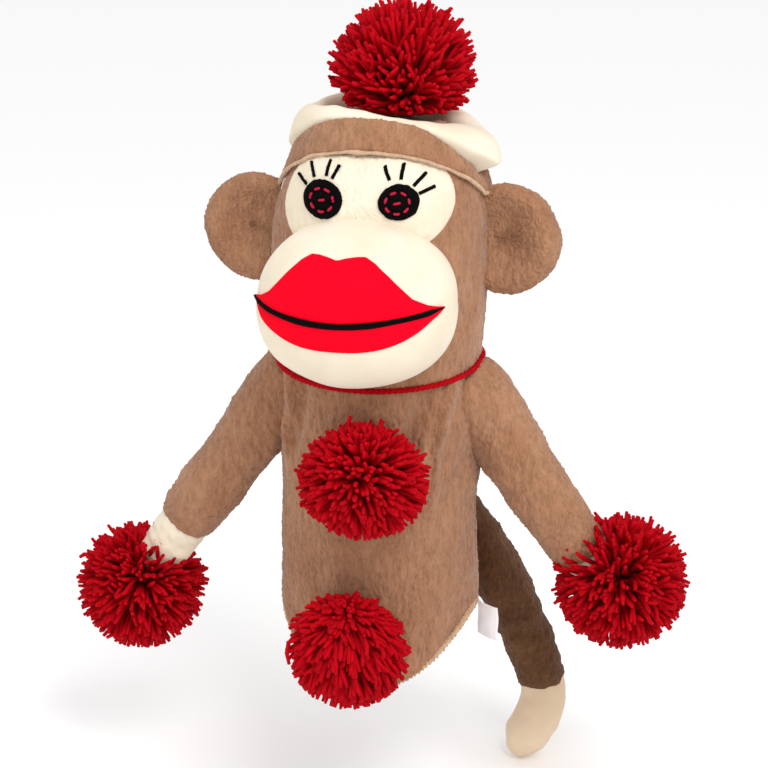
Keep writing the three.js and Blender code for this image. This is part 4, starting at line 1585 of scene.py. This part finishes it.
    def build_patch(self, head: Head, finishes: Finishes) -> None:
        """The padded eye patch: two round lobes side by side.

        Args:
            head: the stuffed head.
            finishes: the puppet's finishes.
        """
        low, high = box_mm("eye_patch")
        lobe = self.patch_lobe
        lobe_x = (high[0] - low[0]) / 2 - lobe
        lobe_z = high[2] - lobe
        angle = angles(detail(220))
        rim = np.zeros((len(angle), 2))
        for i, a in enumerate(angle):
            way = np.array([math.cos(a), math.sin(a)])
            along = abs(way[0]) * lobe_x
            reach = along + math.sqrt(max(0.0, along**2 - lobe_x**2 + lobe**2))
            if abs(way[0]) * reach < lobe_x:
                reach = lobe / abs(way[1])
            rim[i] = way * reach
        rim[:, 1] -= 1.2 * np.exp(-((rim[:, 0] / 9) ** 2)) * np.sign(rim[:, 1])
        share = np.sin(np.linspace(0.03, 1, detail(44)) * math.pi / 2)
        across = share[:, None] * rim[:, 0]
        up = lobe_z + share[:, None] * rim[:, 1]
        pucker = 1 + 0.012 * np.sin(angle * 34) * smooth_step(np.sin(angle), 0.3, 0.8)
        across, up = across * pucker, lobe_z + (up - lobe_z) * pucker
        across = leaned(np.stack([across, 0 * up, up], axis=-1))[..., 0]
        ground = Ground(head.cover)
        base = ground.depths(across, up)
        rise = self.patch_rise * np.sqrt(np.clip(1 - share**5, 0, 1))[:, None]
        rise = rise - 0.5 * np.exp(-((across / 3.5) ** 2)) * (share[:, None] < 0.96)
        grid = np.stack([across, base - rise, up], axis=-1)
        back = np.stack([across[-1:], base[-1:] + 2.5, up[-1:]], axis=-1)
        centre_back = back * [0.2, 1, 0.2] + [0, 0, lobe_z * 0.8]
        centre_back[..., 1] = base[0].mean() + 2.5
        grid = np.concatenate([grid, back, centre_back])
        grid[:-2] = grid[:-2] + np.array([0, -1, 0]) * (0.3 * waves(grid[:-2], 14, 51))[..., None]
        self.patch = capped_grid("eye_patch_pad", grid)
        finishes.dress(self.patch, "cream_fleece")
        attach(self.patch, "head")
        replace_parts(self.patch, "eye_patch")
        log.info("patch: %s", self.patch.name)

    def build_eye(self, side: Side, finishes: Finishes) -> None:
        """One round felt eye, its ring of red dashes and its lashes.

        Args:
            side: which side of the puppet.
            finishes: the puppet's finishes.
        """
        word = side.word
        low, high = box_mm(f"{word}_eye")
        x = (low[0] + high[0]) / 2 + self.eye_shift[0]
        z = (low[2] + high[2]) / 2 + self.eye_shift[1]
        ground = Ground(self.patch)
        angle = np.linspace(0, TURN, 73)
        share = np.array([0.02, 0.3, 0.52, 0.56, 0.6, 0.64, 0.8, 0.93, 1.0])[:, None]
        wide, tall = self.eye_half[side]
        across = x + share * wide * np.cos(angle)
        up = z + share * tall * np.sin(angle)
        lift = self.felt * np.array([1.3, 1.35, 1.2, 0.95, 0.95, 1.2, 1.35, 1.1, 0.7])[:, None] + 0 * across
        disc = finishes.dress(sewn_pad(f"{word}_eye_felt", across, up, lift, ground, 0.6), "black_thread")
        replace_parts(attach(disc, "head"), f"{word}_eye")
        lines = []
        for i in range(self.dashes):
            middle = (i + 0.2) * TURN / self.dashes
            arc = middle + np.linspace(-0.26, 0.26, 7)
            ring_x, ring_z = wide * self.dash_share, tall * self.dash_share
            lines.append((x + ring_x * np.cos(arc), z + ring_z * np.sin(arc)))
        self.stitches(f"{word}_eye_dashes", lines, ground, 0.6, finishes, f"{word}_eye_stitch_ring")
        bar = [(x + np.linspace(-1.5, 1.5, 7), z + np.linspace(-0.3, 0.3, 7))]
        self.stitches(f"{word}_eye_bar", bar, ground, 0.6, finishes, f"{word}_eye_centre_stitch")
        for number in range(1, 5):
            self.build_lash(f"{word}_lash_{number}", side, (x, z), ground, finishes)
        log.info("eye: %s", disc.name)

    def stitches(self, name: str, lines: list, ground: Ground, radius: float, finishes: Finishes,
                 node: str) -> None:
        """Raised stitches on the eye.

        Args:
            name: name of the piece.
            lines: X and Z along each stitch.
            ground: the patch below the eye.
            radius: half the width of the thread.
            finishes: the puppet's finishes.
            node: the frame node the stitches stand for.
        """
        places = []
        for x, z in lines:
            hump = np.sin(np.linspace(0, math.pi, len(x))) * 0.5
            depth = ground.depths(x, z) - self.felt - 0.55 - hump
            places.append(np.stack([x, depth, z], axis=-1))
        line = np.array(places)
        thick = np.full(line.shape[:2], radius)
        thick[:, [0, -1]] *= 0.6
        vertices, faces, tone = yarn_tubes(line, thick, 8, np.ones(line.shape[:2]))
        piece = finishes.dress(mesh_piece(name, vertices, faces, tone), "red_thread")
        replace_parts(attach(piece, "head"), node)

    def build_lash(self, node: str, side: Side, eye: tuple, ground: Ground, finishes: Finishes) -> None:
        """One embroidered lash, from the frame's place for it.

        Args:
            node: the frame's node.
            side: which side of the puppet.
            eye: X and Z of the eye.
            ground: what the piece lies on.
            finishes: the puppet's finishes.
        """
        low, high = box_mm(node)
        middle = np.array([(low[0] + high[0]) / 2, (low[2] + high[2]) / 2]) + self.lash_shift[side]
        c, s = math.cos(self.lash_turn[side]), math.sin(self.lash_turn[side])
        middle = np.array([[c, -s], [s, c]]) @ (middle - eye) + eye
        way = middle - eye
        way /= np.linalg.norm(way)
        across = np.array([-way[1], way[0]])
        along = np.linspace(-3.1, 3.1, 40)[:, None]
        share = np.linspace(-0.75, 0.75, 7)[None]
        px = middle[0] + along * way[0] + share * across[0]
        pz = middle[1] + along * way[1] + share * across[1]
        ridge = 0.12 * np.abs(np.sin(np.arange(40) * math.pi / 4))[:, None]
        lift = 0.25 + 0.55 * np.cos(share * math.pi / 1.4) + ridge
        piece = finishes.dress(sewn_pad(f"{node}_thread", px, pz, lift, ground, 0.4), "black_thread")
        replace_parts(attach(piece, "head"), node)


@dataclass
class Ear:
    """A round puffed ear with a hollow front, sewn flat to the side of the head."""

    side: Side
    hollow: float = 8.0
    pile: float = 0.5

    def build(self, finishes: Finishes) -> None:
        """Makes the ear as one soft pad.

        Args:
            finishes: the puppet's finishes.
        """
        word, sign = self.side.word, self.side.value
        low, high = box_mm(f"{word}_ear_front", f"{word}_ear_back")
        radius = (high[2] - low[2]) / 2
        outer = high[0] if sign > 0 else -low[0]
        centre_x, centre_z = outer - radius, (low[2] + high[2]) / 2
        half = (high[1] - low[1]) / 2
        rows, columns = detail(150), detail(220)
        polar = np.linspace(0.02, math.pi - 0.02, rows)[:, None]
        angle = angles(columns)[None]
        flat = np.sin(polar) ** 0.62 * np.ones_like(angle)
        thick = -np.cos(polar) * np.ones_like(angle)
        x = centre_x + radius * flat * np.cos(angle)
        z = centre_z + radius * flat * np.sin(angle)
        y = half * 1.12 * squared_off(thick, 0.8)
        away = np.hypot(x - centre_x + 3.0, z - centre_z - 1.0) / radius
        y = y + np.where(thick < 0, 1, 0) * self.hollow * (1 - smooth_step(away, 0.2, 0.92))
        grid = np.stack([sign * x, y, z], axis=-1)
        if sign > 0:
            grid = grid[:, ::-1]
        body = waves(grid, 18, 60 + sign)
        grid = grid + normals_of(grid) * (0.5 * body)[..., None]
        dent = Fold((sign * 48, -5, 218), (sign * 66, -6, 198), 4.2, -2.6).push(grid)
        dent = dent + Fold((sign * 48, -5, 194), (sign * 64, -6, 212), 3.6, 1.8).push(grid)
        grid = grid + normals_of(grid) * dent[..., None]
        grid = piled(grid, self.pile, 62 + sign, lean=(1, 1, 1.4))
        piece = capped_grid(f"{word}_ear_cloth", grid)
        finishes.dress(piece, "brown_plush")
        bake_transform(piece)
        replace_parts(piece, f"{word}_ear_front", f"{word}_ear_back")
        log.info("ear: %s", piece.name)


# ---- Hat ----


@dataclass
class Hat:
    """The hat: a turned-up plush brim, a padded cream roll and a plush crown.

    Attributes:
        wall: thickness of the folded brim.
        height: height of the brim.
        left_drop: how much lower the brim is on the puppet's left.
        side_low: height of the brim's foot at the sides.
        front_low: height of its foot over the forehead.
        arch_back: Y where the arch over the forehead starts.
        narrowing: how much the brim leans in at its top.
        roll_lean: lean of the roll to the left, in degrees.
        roll_middle: height of the roll's middle.
        roll_size: half width, half length, half thickness and half height of the roll.
    """

    wall: float = 2.6
    height: float = 14.5
    left_drop: float = 6.0
    side_low: float = 226.0
    front_low: float = 247.0
    arch_back: float = -6.0
    narrowing: float = 2.5
    roll_lean: float = 4.0
    roll_middle: float = 250.5
    roll_size: tuple = (39.5, 30.0, 10.5, 13.5)

    def build(self, finishes: Finishes) -> None:
        """Makes and dresses the three parts.

        Args:
            finishes: the puppet's finishes.
        """
        self.build_brim(finishes)
        self.build_roll(finishes)
        self.build_crown(finishes)

    def tall(self, across: Points) -> Points:
        """Height of the brim at a side distance: lower on the puppet's left."""
        return self.height - self.left_drop * smooth_step(across, 24, 50)

    def edge(self, depth: Points, front: float) -> Points:
        """Height of the brim's lower edge at a depth."""
        share = np.clip((self.arch_back - depth) / (self.arch_back - front), 0, 1)
        return self.side_low + (self.front_low - self.side_low) * share**0.92

    def build_brim(self, finishes: Finishes) -> None:
        """The brim: a folded band that arches over the forehead.

        Args:
            finishes: the puppet's finishes.
        """
        low, high = box_mm("hat_brim")
        half_x, half_y = (high[0] - low[0]) / 2, (high[1] - low[1]) / 2
        middle_y = (high[1] + low[1]) / 2
        columns, rows = detail(420), detail(72)
        angle = angles(columns)
        section = angles(rows)[:, None]
        over = squared_off(np.cos(section), 0.55)
        up_share = squared_off(np.sin(section), 0.9)
        y_edge = middle_y + half_y * np.sin(angle)
        foot = self.edge(y_edge, low[1])
        up = foot + self.tall(half_x * np.cos(angle)) * (0.5 + 0.5 * up_share)
        lean = self.narrowing * (0.5 + 0.5 * up_share)
        reach = half_x - self.wall / 2 - lean + over * (self.wall / 2 + 0.5)
        squash = half_y / half_x
        x = reach * np.cos(angle)
        y = middle_y + reach * squash * np.sin(angle)
        grid = leaned(np.stack([x, y, up + 0 * x], axis=-1))
        soft = 0.7 * waves(grid, 30, 71) + 0.3 * waves(grid, 11, 72, stretch=(1, 1, 2))
        wrinkle = 0.5 * waves(grid, 5, 73, stretch=(1, 1, 4)) * smooth_step(-np.abs(x + 14), -16, -4)
        outward = outward_ways(angle)
        grid = grid + outward * ((soft + wrinkle) * (over > 0))[..., None] * 0.8
        grid = piled(grid, 0.42, 74)
        piece = closed_grid("brim_cloth", grid)
        finishes.dress(piece, "brown_plush")
        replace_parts(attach(piece, "head"), "hat_brim")
        self.build_brim_fold(finishes, half_x, half_y, middle_y, low[1])
        log.info("hat: %s", piece.name)

    def build_brim_fold(self, finishes: Finishes, half_x: float, half_y: float, middle_y: float,
                        front: float) -> None:
        """The thin turned edge along the brim's foot, over the forehead.

        Args:
            finishes: the puppet's finishes.
            half_x: half width of the brim.
            half_y: half depth of the brim.
            middle_y: Y of its middle.
            front: Y of its front.
        """
        angle = np.linspace(-math.pi + 0.02, -0.02, detail(260))
        y = middle_y + (half_y + 0.3) * np.sin(angle)
        x = (half_x + 0.3) * np.cos(angle)
        up = self.edge(y, front) + 0.3
        line = leaned(np.stack([x, y, up], axis=-1))
        line = line + UP * (0.3 * waves(line, 9, 75))[:, None]
        thick = 0.85 + 0.2 * waves(line, 6, 76)
        places, faces, tone = yarn_tubes(line[None], thick[None], 8, np.ones((1, len(line))))
        piece = finishes.dress(mesh_piece("brim_turned_edge", places, faces, tone), "beige_thread")
        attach(piece, "head")

    def build_roll(self, finishes: Finishes) -> None:
        """The padded cream roll that shows above the brim.

        Args:
            finishes: the puppet's finishes.
        """
        low, high = box_mm("hat_roll")
        lean = math.radians(self.roll_lean)
        middle = np.array([0, (low[1] + high[1]) / 2, self.roll_middle])
        half_width, half_length, thick, tall = self.roll_size
        columns, rows = detail(300), detail(80)
        angle = angles(columns)
        section = angles(rows)[:, None]
        reach = thick * np.cos(section)
        x = (half_width + reach) * np.cos(angle)
        y = (half_length + reach * half_length / half_width) * np.sin(angle)
        up = tall * np.sin(section) - 0.11 * np.abs(x) - 4.0 * smooth_step(x, 20, 50)
        up = up + 2.0 * smooth_step(-y, 22, 36)
        grid = np.stack([x, y, up], axis=-1)
        soft = 1.3 * waves(grid, 34, 81) + 0.35 * waves(grid, 13, 82, stretch=(1, 1, 2))
        puff = 5.5 * smooth_step(grid[..., 0], 26, 50) * smooth_step(np.cos(section), -0.2, 0.6)
        crease = Fold((44, -20, -12), (41, -20, 12), 3.2, -1.6).push(grid)
        grid = grid + normals_of(grid) * (soft + crease)[..., None]
        grid[..., 0] += puff
        c, s = math.cos(lean), math.sin(lean)
        turn = np.array([[c, 0, s], [0, 1, 0], [-s, 0, c]])
        grid = self.inside_brim(leaned(grid @ turn.T + middle), middle[1])
        piece = closed_grid("roll_pad", grid)
        finishes.dress(piece, "cream_fleece")
        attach(piece, "head")
        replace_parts(piece, "hat_roll")
        log.info("hat: %s", piece.name)

    def inside_brim(self, grid: Points, middle_y: float) -> Points:
        """Keeps the roll inside the brim wherever the brim stands round it.

        Args:
            grid: points in millimetres, row by row.
            middle_y: Y of the roll's middle.

        Returns:
            The moved points.
        """
        low, high = box_mm("hat_brim")
        half_x = (high[0] - low[0]) / 2 - self.wall - 2.6
        half_y = (high[1] - low[1]) / 2 - self.wall - 2.6
        side_x = np.where(grid[..., 0] < 0, half_x * 0.83, half_x)
        size = np.hypot(grid[..., 0] / side_x, (grid[..., 1] - middle_y) / half_y)
        top = self.edge(grid[..., 1], low[1]) + self.tall(grid[..., 0])
        held = 1 - smooth_step(grid[..., 2], top - 1.0, top + 5.0)
        share = 1 + (np.minimum(1, 1 / np.maximum(size, 1e-6)) - 1) * held
        grid = grid.copy()
        grid[..., 0] *= share
        grid[..., 1] = middle_y + (grid[..., 1] - middle_y) * share
        lowest = self.edge(grid[..., 1], low[1]) + 4.0
        grid[..., 2] = np.maximum(grid[..., 2], lowest + 0.15 * (grid[..., 2] - lowest))
        return grid

    def build_crown(self, finishes: Finishes) -> None:
        """The plush crown inside the roll, raised a little behind the pompom.

        Args:
            finishes: the puppet's finishes.
        """
        low, high = box_mm("hat_crown")
        half_x, half_y = (high[0] - low[0]) / 2 + 3, (high[1] - low[1]) / 2 + 3
        middle_y = (low[1] + high[1]) / 2
        columns, rows = detail(200), detail(60)
        angle = angles(columns)
        share = np.concatenate([np.linspace(0.02, 1, rows), np.linspace(1, 0.02, rows // 3)])[:, None]
        x = share * half_x * np.cos(angle)
        y = middle_y + share * half_y * np.sin(angle)
        hump = 7.0 * np.exp(-((x - 30) ** 2 + (y + 4) ** 2) / 90)
        top = high[2] + 0.5 - 6 * share**4 - 0.05 * x + hump
        up = top + np.where(np.arange(len(share))[:, None] < rows, 0, -2.0)
        grid = leaned(np.stack([x, y, up], axis=-1))
        lift = 0.6 * waves(grid, 12, 91) + 0.25 * waves(grid, 2.2, 92)
        grid = grid + UP * lift[..., None]
        piece = capped_grid("crown_cloth", grid)
        finishes.dress(piece, "brown_plush")
        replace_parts(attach(piece, "head"), "hat_crown")
        log.info("hat: %s", piece.name)


# ---- Arms ----


@dataclass
class Arm:
    """A straight plush sleeve with a cream hand sewn into its cuff."""

    side: Side
    root: float = 16.0
    cuff: float = 14.5
    flare: float = 2.2
    flat: float = 0.9
    wall: float = 1.8
    hand_radius: float = 12.2
    sleeve_way: tuple = (0.5807, -0.8141)
    pile: float = 0.5

    def build(self, frame: dict, finishes: Finishes) -> None:
        """Makes and dresses the sleeve and the hand.

        Args:
            frame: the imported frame.
            finishes: the puppet's finishes.
        """
        word, sign = self.side.word, self.side.value
        shoulder = pivot_mm(frame, f"{word}_shoulder_raise")
        wrist = pivot_mm(frame, f"{word}_wrist_bend")
        low, high = box_mm(f"{word}_hand_pompom_tie")
        tie = np.array([high[0] if sign > 0 else low[0], 0, low[2]])
        self.build_sleeve(word, sign, shoulder, wrist, finishes)
        self.build_hand(word, sign, wrist, tie, finishes)

    def build_sleeve(self, word: str, sign: int, shoulder: Points, wrist: Points,
                     finishes: Finishes) -> None:
        """The sleeve, flared where it is sewn into the body.

        Args:
            word: the side's name.
            sign: the side's sign along X.
            shoulder: the shoulder hinge.
            wrist: the wrist hinge.
            finishes: the puppet's finishes.
        """
        run = wrist - shoulder
        length = np.linalg.norm(run)
        way = run / length
        inset = shoulder - way * 17 + np.array([-sign * 5.0, 0, -2.0])
        route = np.array([inset, shoulder, shoulder + way * length * 0.5, wrist + way * 1.0])
        rows, columns = detail(150), detail(150)
        line = follow(route, rows)
        share = np.linspace(0, 1, rows)
        radii = self.root + (self.cuff - self.root) * share
        radii = radii + self.flare * np.exp(-((share - 0.13) / 0.16) ** 2)
        radii = radii * np.sqrt(np.clip(share / 0.09 + 0.06, 0, 1))
        grid = rings_along(line, radii, columns, self.flat)
        soft = 0.8 * waves(grid, 30, 100 + sign) + 0.35 * waves(grid, 12, 103 + sign)
        armpit = shoulder + way * 18 + np.array([-sign * 12.0, 0, -9.0])
        for turn, rise in ((-0.35, 1.6), (0.25, -1.5), (0.8, 1.3)):
            over = np.array([sign * math.cos(turn), 0, math.sin(turn) - 0.2]) * 20
            front = armpit + over + np.array([0, -13.0, 0])
            soft = soft + Fold(tuple(armpit), tuple(front), 3.6, rise).push(grid)
        cuff_in = 1.1 * smooth_step(share, 0.94, 1.0)[:, None]
        grid = grid + normals_of(grid) * (soft - cuff_in)[..., None]
        grid = piled(grid, self.pile, 106 + sign, lean=(1.3, 1, 2.2))
        sleeve = closed_grid(f"{word}_sleeve_cloth", lined(grid, self.wall))
        finishes.dress(sleeve, "brown_plush")
        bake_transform(sleeve)
        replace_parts(sleeve, f"{word}_sleeve_front", f"{word}_sleeve_back")
        log.info("arm: %s", sleeve.name)

    def build_hand(self, word: str, sign: int, wrist: Points, tip: Points, finishes: Finishes) -> None:
        """The cream hand, a finger cap with soft wrinkles at the wrist.

        Args:
            word: the side's name.
            sign: the side's sign along X.
            wrist: the wrist hinge.
            tip: where the pompom is tied.
            finishes: the puppet's finishes.
        """
        way = (tip - wrist) / np.linalg.norm(tip - wrist)
        shoulder_way = np.array([sign * self.sleeve_way[0], 0, self.sleeve_way[1]])
        length = np.linalg.norm(tip - wrist) - 8
        route = np.array([wrist - shoulder_way * 9, wrist, wrist + way * length * 0.45,
                          wrist + way * length])
        rows, columns = detail(110), detail(110)
        line = follow(route, rows)
        share = np.linspace(0, 1, rows)
        tip_round = np.sqrt(np.clip((1 - share) / 0.3, 0.002, 1))
        radii = (self.hand_radius - 0.2) * np.minimum(1, tip_round)
        grid = rings_along(line, radii, columns, self.flat)
        creased = np.exp(-((share - 0.45) / 0.22) ** 2)[:, None]
        wrinkle = waves(grid, 6.5, 120 + sign, stretch=(1.0, 3.0, 1.0)) * creased
        grid = grid + normals_of(grid) * (0.55 * wrinkle + 0.4 * waves(grid, 16, 122 + sign))[..., None]
        inner = (grid - normals_of(grid) * 1.4)[::-3]
        piece = closed_grid(f"{word}_hand_cloth", np.concatenate([grid, inner]))
        finishes.dress(piece, "cream_fleece")
        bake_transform(piece)
        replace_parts(piece, f"{word}_hand")
        log.info("hand: %s", piece.name)


# ---- Tail ----


@dataclass
class Tail:
    """The stuffed tail: a dark brown plush tube, darkened further with painted shade, and a cream tip in a
    darker copy of the cream fleece, also painted shade.
    """

    radius: float = 12.5
    tip_radius: float = 11.2
    route: tuple = ((2, 33, 78), (6, 40, 76), (12, 49.5, 71), (25, 53, 57), (38, 53, 40), (49, 52.5, 22),
                    (58, 52, 3), (65, 51, -12), (69.5, 50.5, -26), (70, 50.3, -29))
    tip_route: tuple = ((69.3, 50.5, -23), (69.8, 50.5, -26), (70, 50, -36), (67, 49, -47), (61.5, 48, -57),
                        (56, 47, -66))
    pile: float = 0.5

    def build(self, frame: dict, finishes: Finishes) -> None:
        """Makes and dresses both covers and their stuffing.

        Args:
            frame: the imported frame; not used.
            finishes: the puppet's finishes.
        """
        rows, columns = detail(240), detail(110)
        line = follow(np.array(self.route, float), rows)
        share = np.linspace(0, 1, rows)
        radii = self.radius * (0.92 + 0.1 * np.sin(share * 3.1)) * np.clip(share / 0.03 + 0.3, 0, 1) ** 0.5
        radii = radii * (1 - 0.14 * smooth_step(share, 0.965, 1.0))
        grid = rings_along(line, radii, columns)
        ring = 0.4 * np.sin(share * 46 + 1.5 * np.sin(share * 17))[:, None]
        soft = ring * (0.5 + 0.5 * waves(grid, 20, 130)) + 0.4 * waves(grid, 12, 131, stretch=(1.8, 1, 1))
        soft = soft * (1 - smooth_step(share, 0.95, 1.0))[:, None]
        grid = grid + normals_of(grid) * soft[..., None]
        furry = piled(grid, self.pile, 132, lean=(1.2, 1, 2))
        grid = grid + (furry - grid) * (1 - 0.85 * smooth_step(share, 0.97, 0.99))[:, None, None]
        cover = capped_grid("tail_cloth", grid)
        # painted shade: the tail cover takes the darker tail plush
        finishes.dress(cover, "tail_plush")
        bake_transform(cover)
        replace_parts(cover, "tail_cover")
        self.build_fill("tail_fill", line, radii, "tail", "tail_stuffing", finishes)
        self.build_tip(finishes)
        log.info("tail: %s", cover.name)

    def build_tip(self, finishes: Finishes) -> None:
        """The cream tip, gathered where it meets the dark tail.

        Args:
            finishes: the puppet's finishes.
        """
        rows, columns = detail(110), detail(110)
        line = follow(np.array(self.tip_route, float), rows)
        share = np.linspace(0, 1, rows)
        end = np.sqrt(np.clip((1 - share) / 0.26, 0.003, 1))
        radii = self.tip_radius * np.minimum(1, end) * (1 - 0.08 * np.exp(-(share / 0.12) ** 2))
        grid = rings_along(line, radii, columns)
        soft = 0.18 * waves(grid, 7, 140, stretch=(1.4, 1, 1)) + 0.4 * waves(grid, 20, 141)
        grid = grid + normals_of(grid) * soft[..., None]
        tip = capped_grid("tail_tip_cloth", grid)
        # painted shade: the tip takes the darker copy of the cream fleece
        finishes.dress(tip, "cream_fleece", "tip_fleece")
        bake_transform(tip)
        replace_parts(tip, "tail_tip_cover")
        self.build_fill("tail_tip_fill", line, radii, "tail_end", "tail_tip_stuffing", finishes)
        log.info("tail: %s", tip.name)

    def build_fill(self, name: str, line: Points, radii: Points, body: str, node: str,
                   finishes: Finishes) -> None:
        """The stuffing inside a cover.

        Args:
            name: name of the piece.
            line: centre line of the cover.
            radii: radius of the cover along it.
            body: the body it rides on.
            node: the frame node it stands for.
            finishes: the puppet's finishes.
        """
        inner = slice(len(line) // 12, -max(3, len(line) // 20), 2)
        grid = rings_along(line[inner], np.maximum(radii[inner] - 3.4, 1.0), detail(60))
        grid = grid + normals_of(grid) * (0.9 * waves(grid, 7, 133))[..., None]
        fill = capped_grid(name, grid)
        finishes.dress(fill, "white_fill")
        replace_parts(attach(fill, body), node)


# ---- Studio ----


@dataclass
class Studio:
    """A plain pale floor, soft light and the camera."""

    target: tuple = (0.0018, 0.0, 0.1345)
    azimuth: float = 14.0
    elevation: float = 16.0
    distance: float = 0.950
    lens: float = 97.4

    def build(self) -> None:
        """Makes the floor, the lights and the camera."""
        low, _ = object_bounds()
        floor = bpy.data.meshes.new("floor")
        reach = 40.0
        z = low.z - 0.001
        corners = [(-reach, -reach, z), (reach, -reach, z), (reach, reach, z), (-reach, reach, z)]
        floor.from_pydata(corners, [], [(0, 1, 2, 3)])
        ground = bpy.data.objects.new("floor", floor)
        bpy.context.scene.collection.objects.link(ground)
        bench = Bench("floor")
        bench.surface.inputs["Base Color"].default_value = (0.95, 0.95, 0.95, 1)
        bench.surface.inputs["Roughness"].default_value = 0.9
        bench.surface.inputs["Emission Color"].default_value = (1, 1, 1, 1)
        bench.surface.inputs["Emission Strength"].default_value = 0.1
        floor.materials.append(bench.material)
        ground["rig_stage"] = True
        self.build_lights()
        self.build_camera()

    def build_lights(self) -> None:
        """One large key from the upper right, a weak fill from the left, and a white room."""
        scene = bpy.context.scene
        scene.view_settings.view_transform = "Standard"
        world = bpy.data.worlds.new("room")
        world.use_nodes = True
        world.node_tree.nodes["Background"].inputs["Color"].default_value = (1, 1, 1, 1)
        world.node_tree.nodes["Background"].inputs["Strength"].default_value = 0.88
        scene.world = world
        for name, place, size, power in (
            ("key", (0.6, -0.75, 1.2), 0.6, 10.0),
            ("fill", (-0.9, -0.8, 0.6), 1.0, 1.0),
        ):
            lamp = bpy.data.lights.new(name, "AREA")
            lamp.size, lamp.energy = size, power
            light = bpy.data.objects.new(name, lamp)
            light.location = place
            aim = Vector((0, 0, 0.13)) - light.location
            light.rotation_euler = aim.to_track_quat("-Z", "Y").to_euler()
            scene.collection.objects.link(light)

    def build_camera(self) -> None:
        """The camera, level with the face and a little to the puppet's left."""
        lens = bpy.data.cameras.new("camera")
        lens.lens, lens.sensor_width = self.lens, 36.0
        camera = bpy.data.objects.new("camera", lens)
        turn, tilt = math.radians(self.azimuth), math.radians(self.elevation)
        back = Vector((math.sin(turn) * math.cos(tilt), -math.cos(turn) * math.cos(tilt), math.sin(tilt)))
        camera.location = Vector(self.target) + back * self.distance
        camera.rotation_euler = (-back).to_track_quat("-Z", "Y").to_euler()
        bpy.context.scene.collection.objects.link(camera)
        bpy.context.scene.camera = camera


def main() -> None:
    """Builds the puppet part by part."""
    logging.basicConfig(level=logging.INFO, format="%(message)s")
    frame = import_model()
    finishes = Finishes()
    torso = Torso()
    torso.build(finishes)
    Label().build(frame, finishes)
    NeckYarn().build(torso, finishes)
    head = Head()
    head.build(torso, finishes)
    face = Face()
    face.build_muzzle(finishes)
    face.build_lips(finishes)
    face.build_patch(head, finishes)
    for side in Side:
        face.build_eye(side, finishes)
        Ear(side).build(finishes)
        Arm(side).build(frame, finishes)
        seed = 210 + side.value
        shift = (-4.0, 0.0, 0.0) if side is Side.LEFT else (0.0, 0.0, 0.0)
        Pompom(f"{side.word}_hand_pompom", f"{side.word}_paw", seed, outward=side.value,
               shift=shift).build(finishes)
    Hat().build(finishes)
    low, high = box_mm("hat_pompom")
    root = ((low[0] + high[0]) / 2, (low[1] + high[1]) / 2, low[2] + 1)
    Pompom("hat_pompom", "hat_ball", 220, (0, 0, 1), -0.85, root, droop=0.02, sink=13, lower=6,
           shrink=1.0).build(finishes)
    Pompom("chest_pompom", "torso", 230, shift=(3.0, 0, 1.5), shrink=2.5).build(finishes)
    low, high = box_mm("belly_pompom")
    root = ((low[0] + high[0]) / 2 + 1, (low[1] + high[1]) / 2, high[2] - 9)
    Pompom("belly_pompom", "torso", 240, root=root, droop=0.08, shift=(1.0, 0, 2.5),
           shrink=3.0).build(finishes)
    Tail().build(frame, finishes)
    Studio().build()
    low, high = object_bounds()


if __name__ == "__main__":
    main()
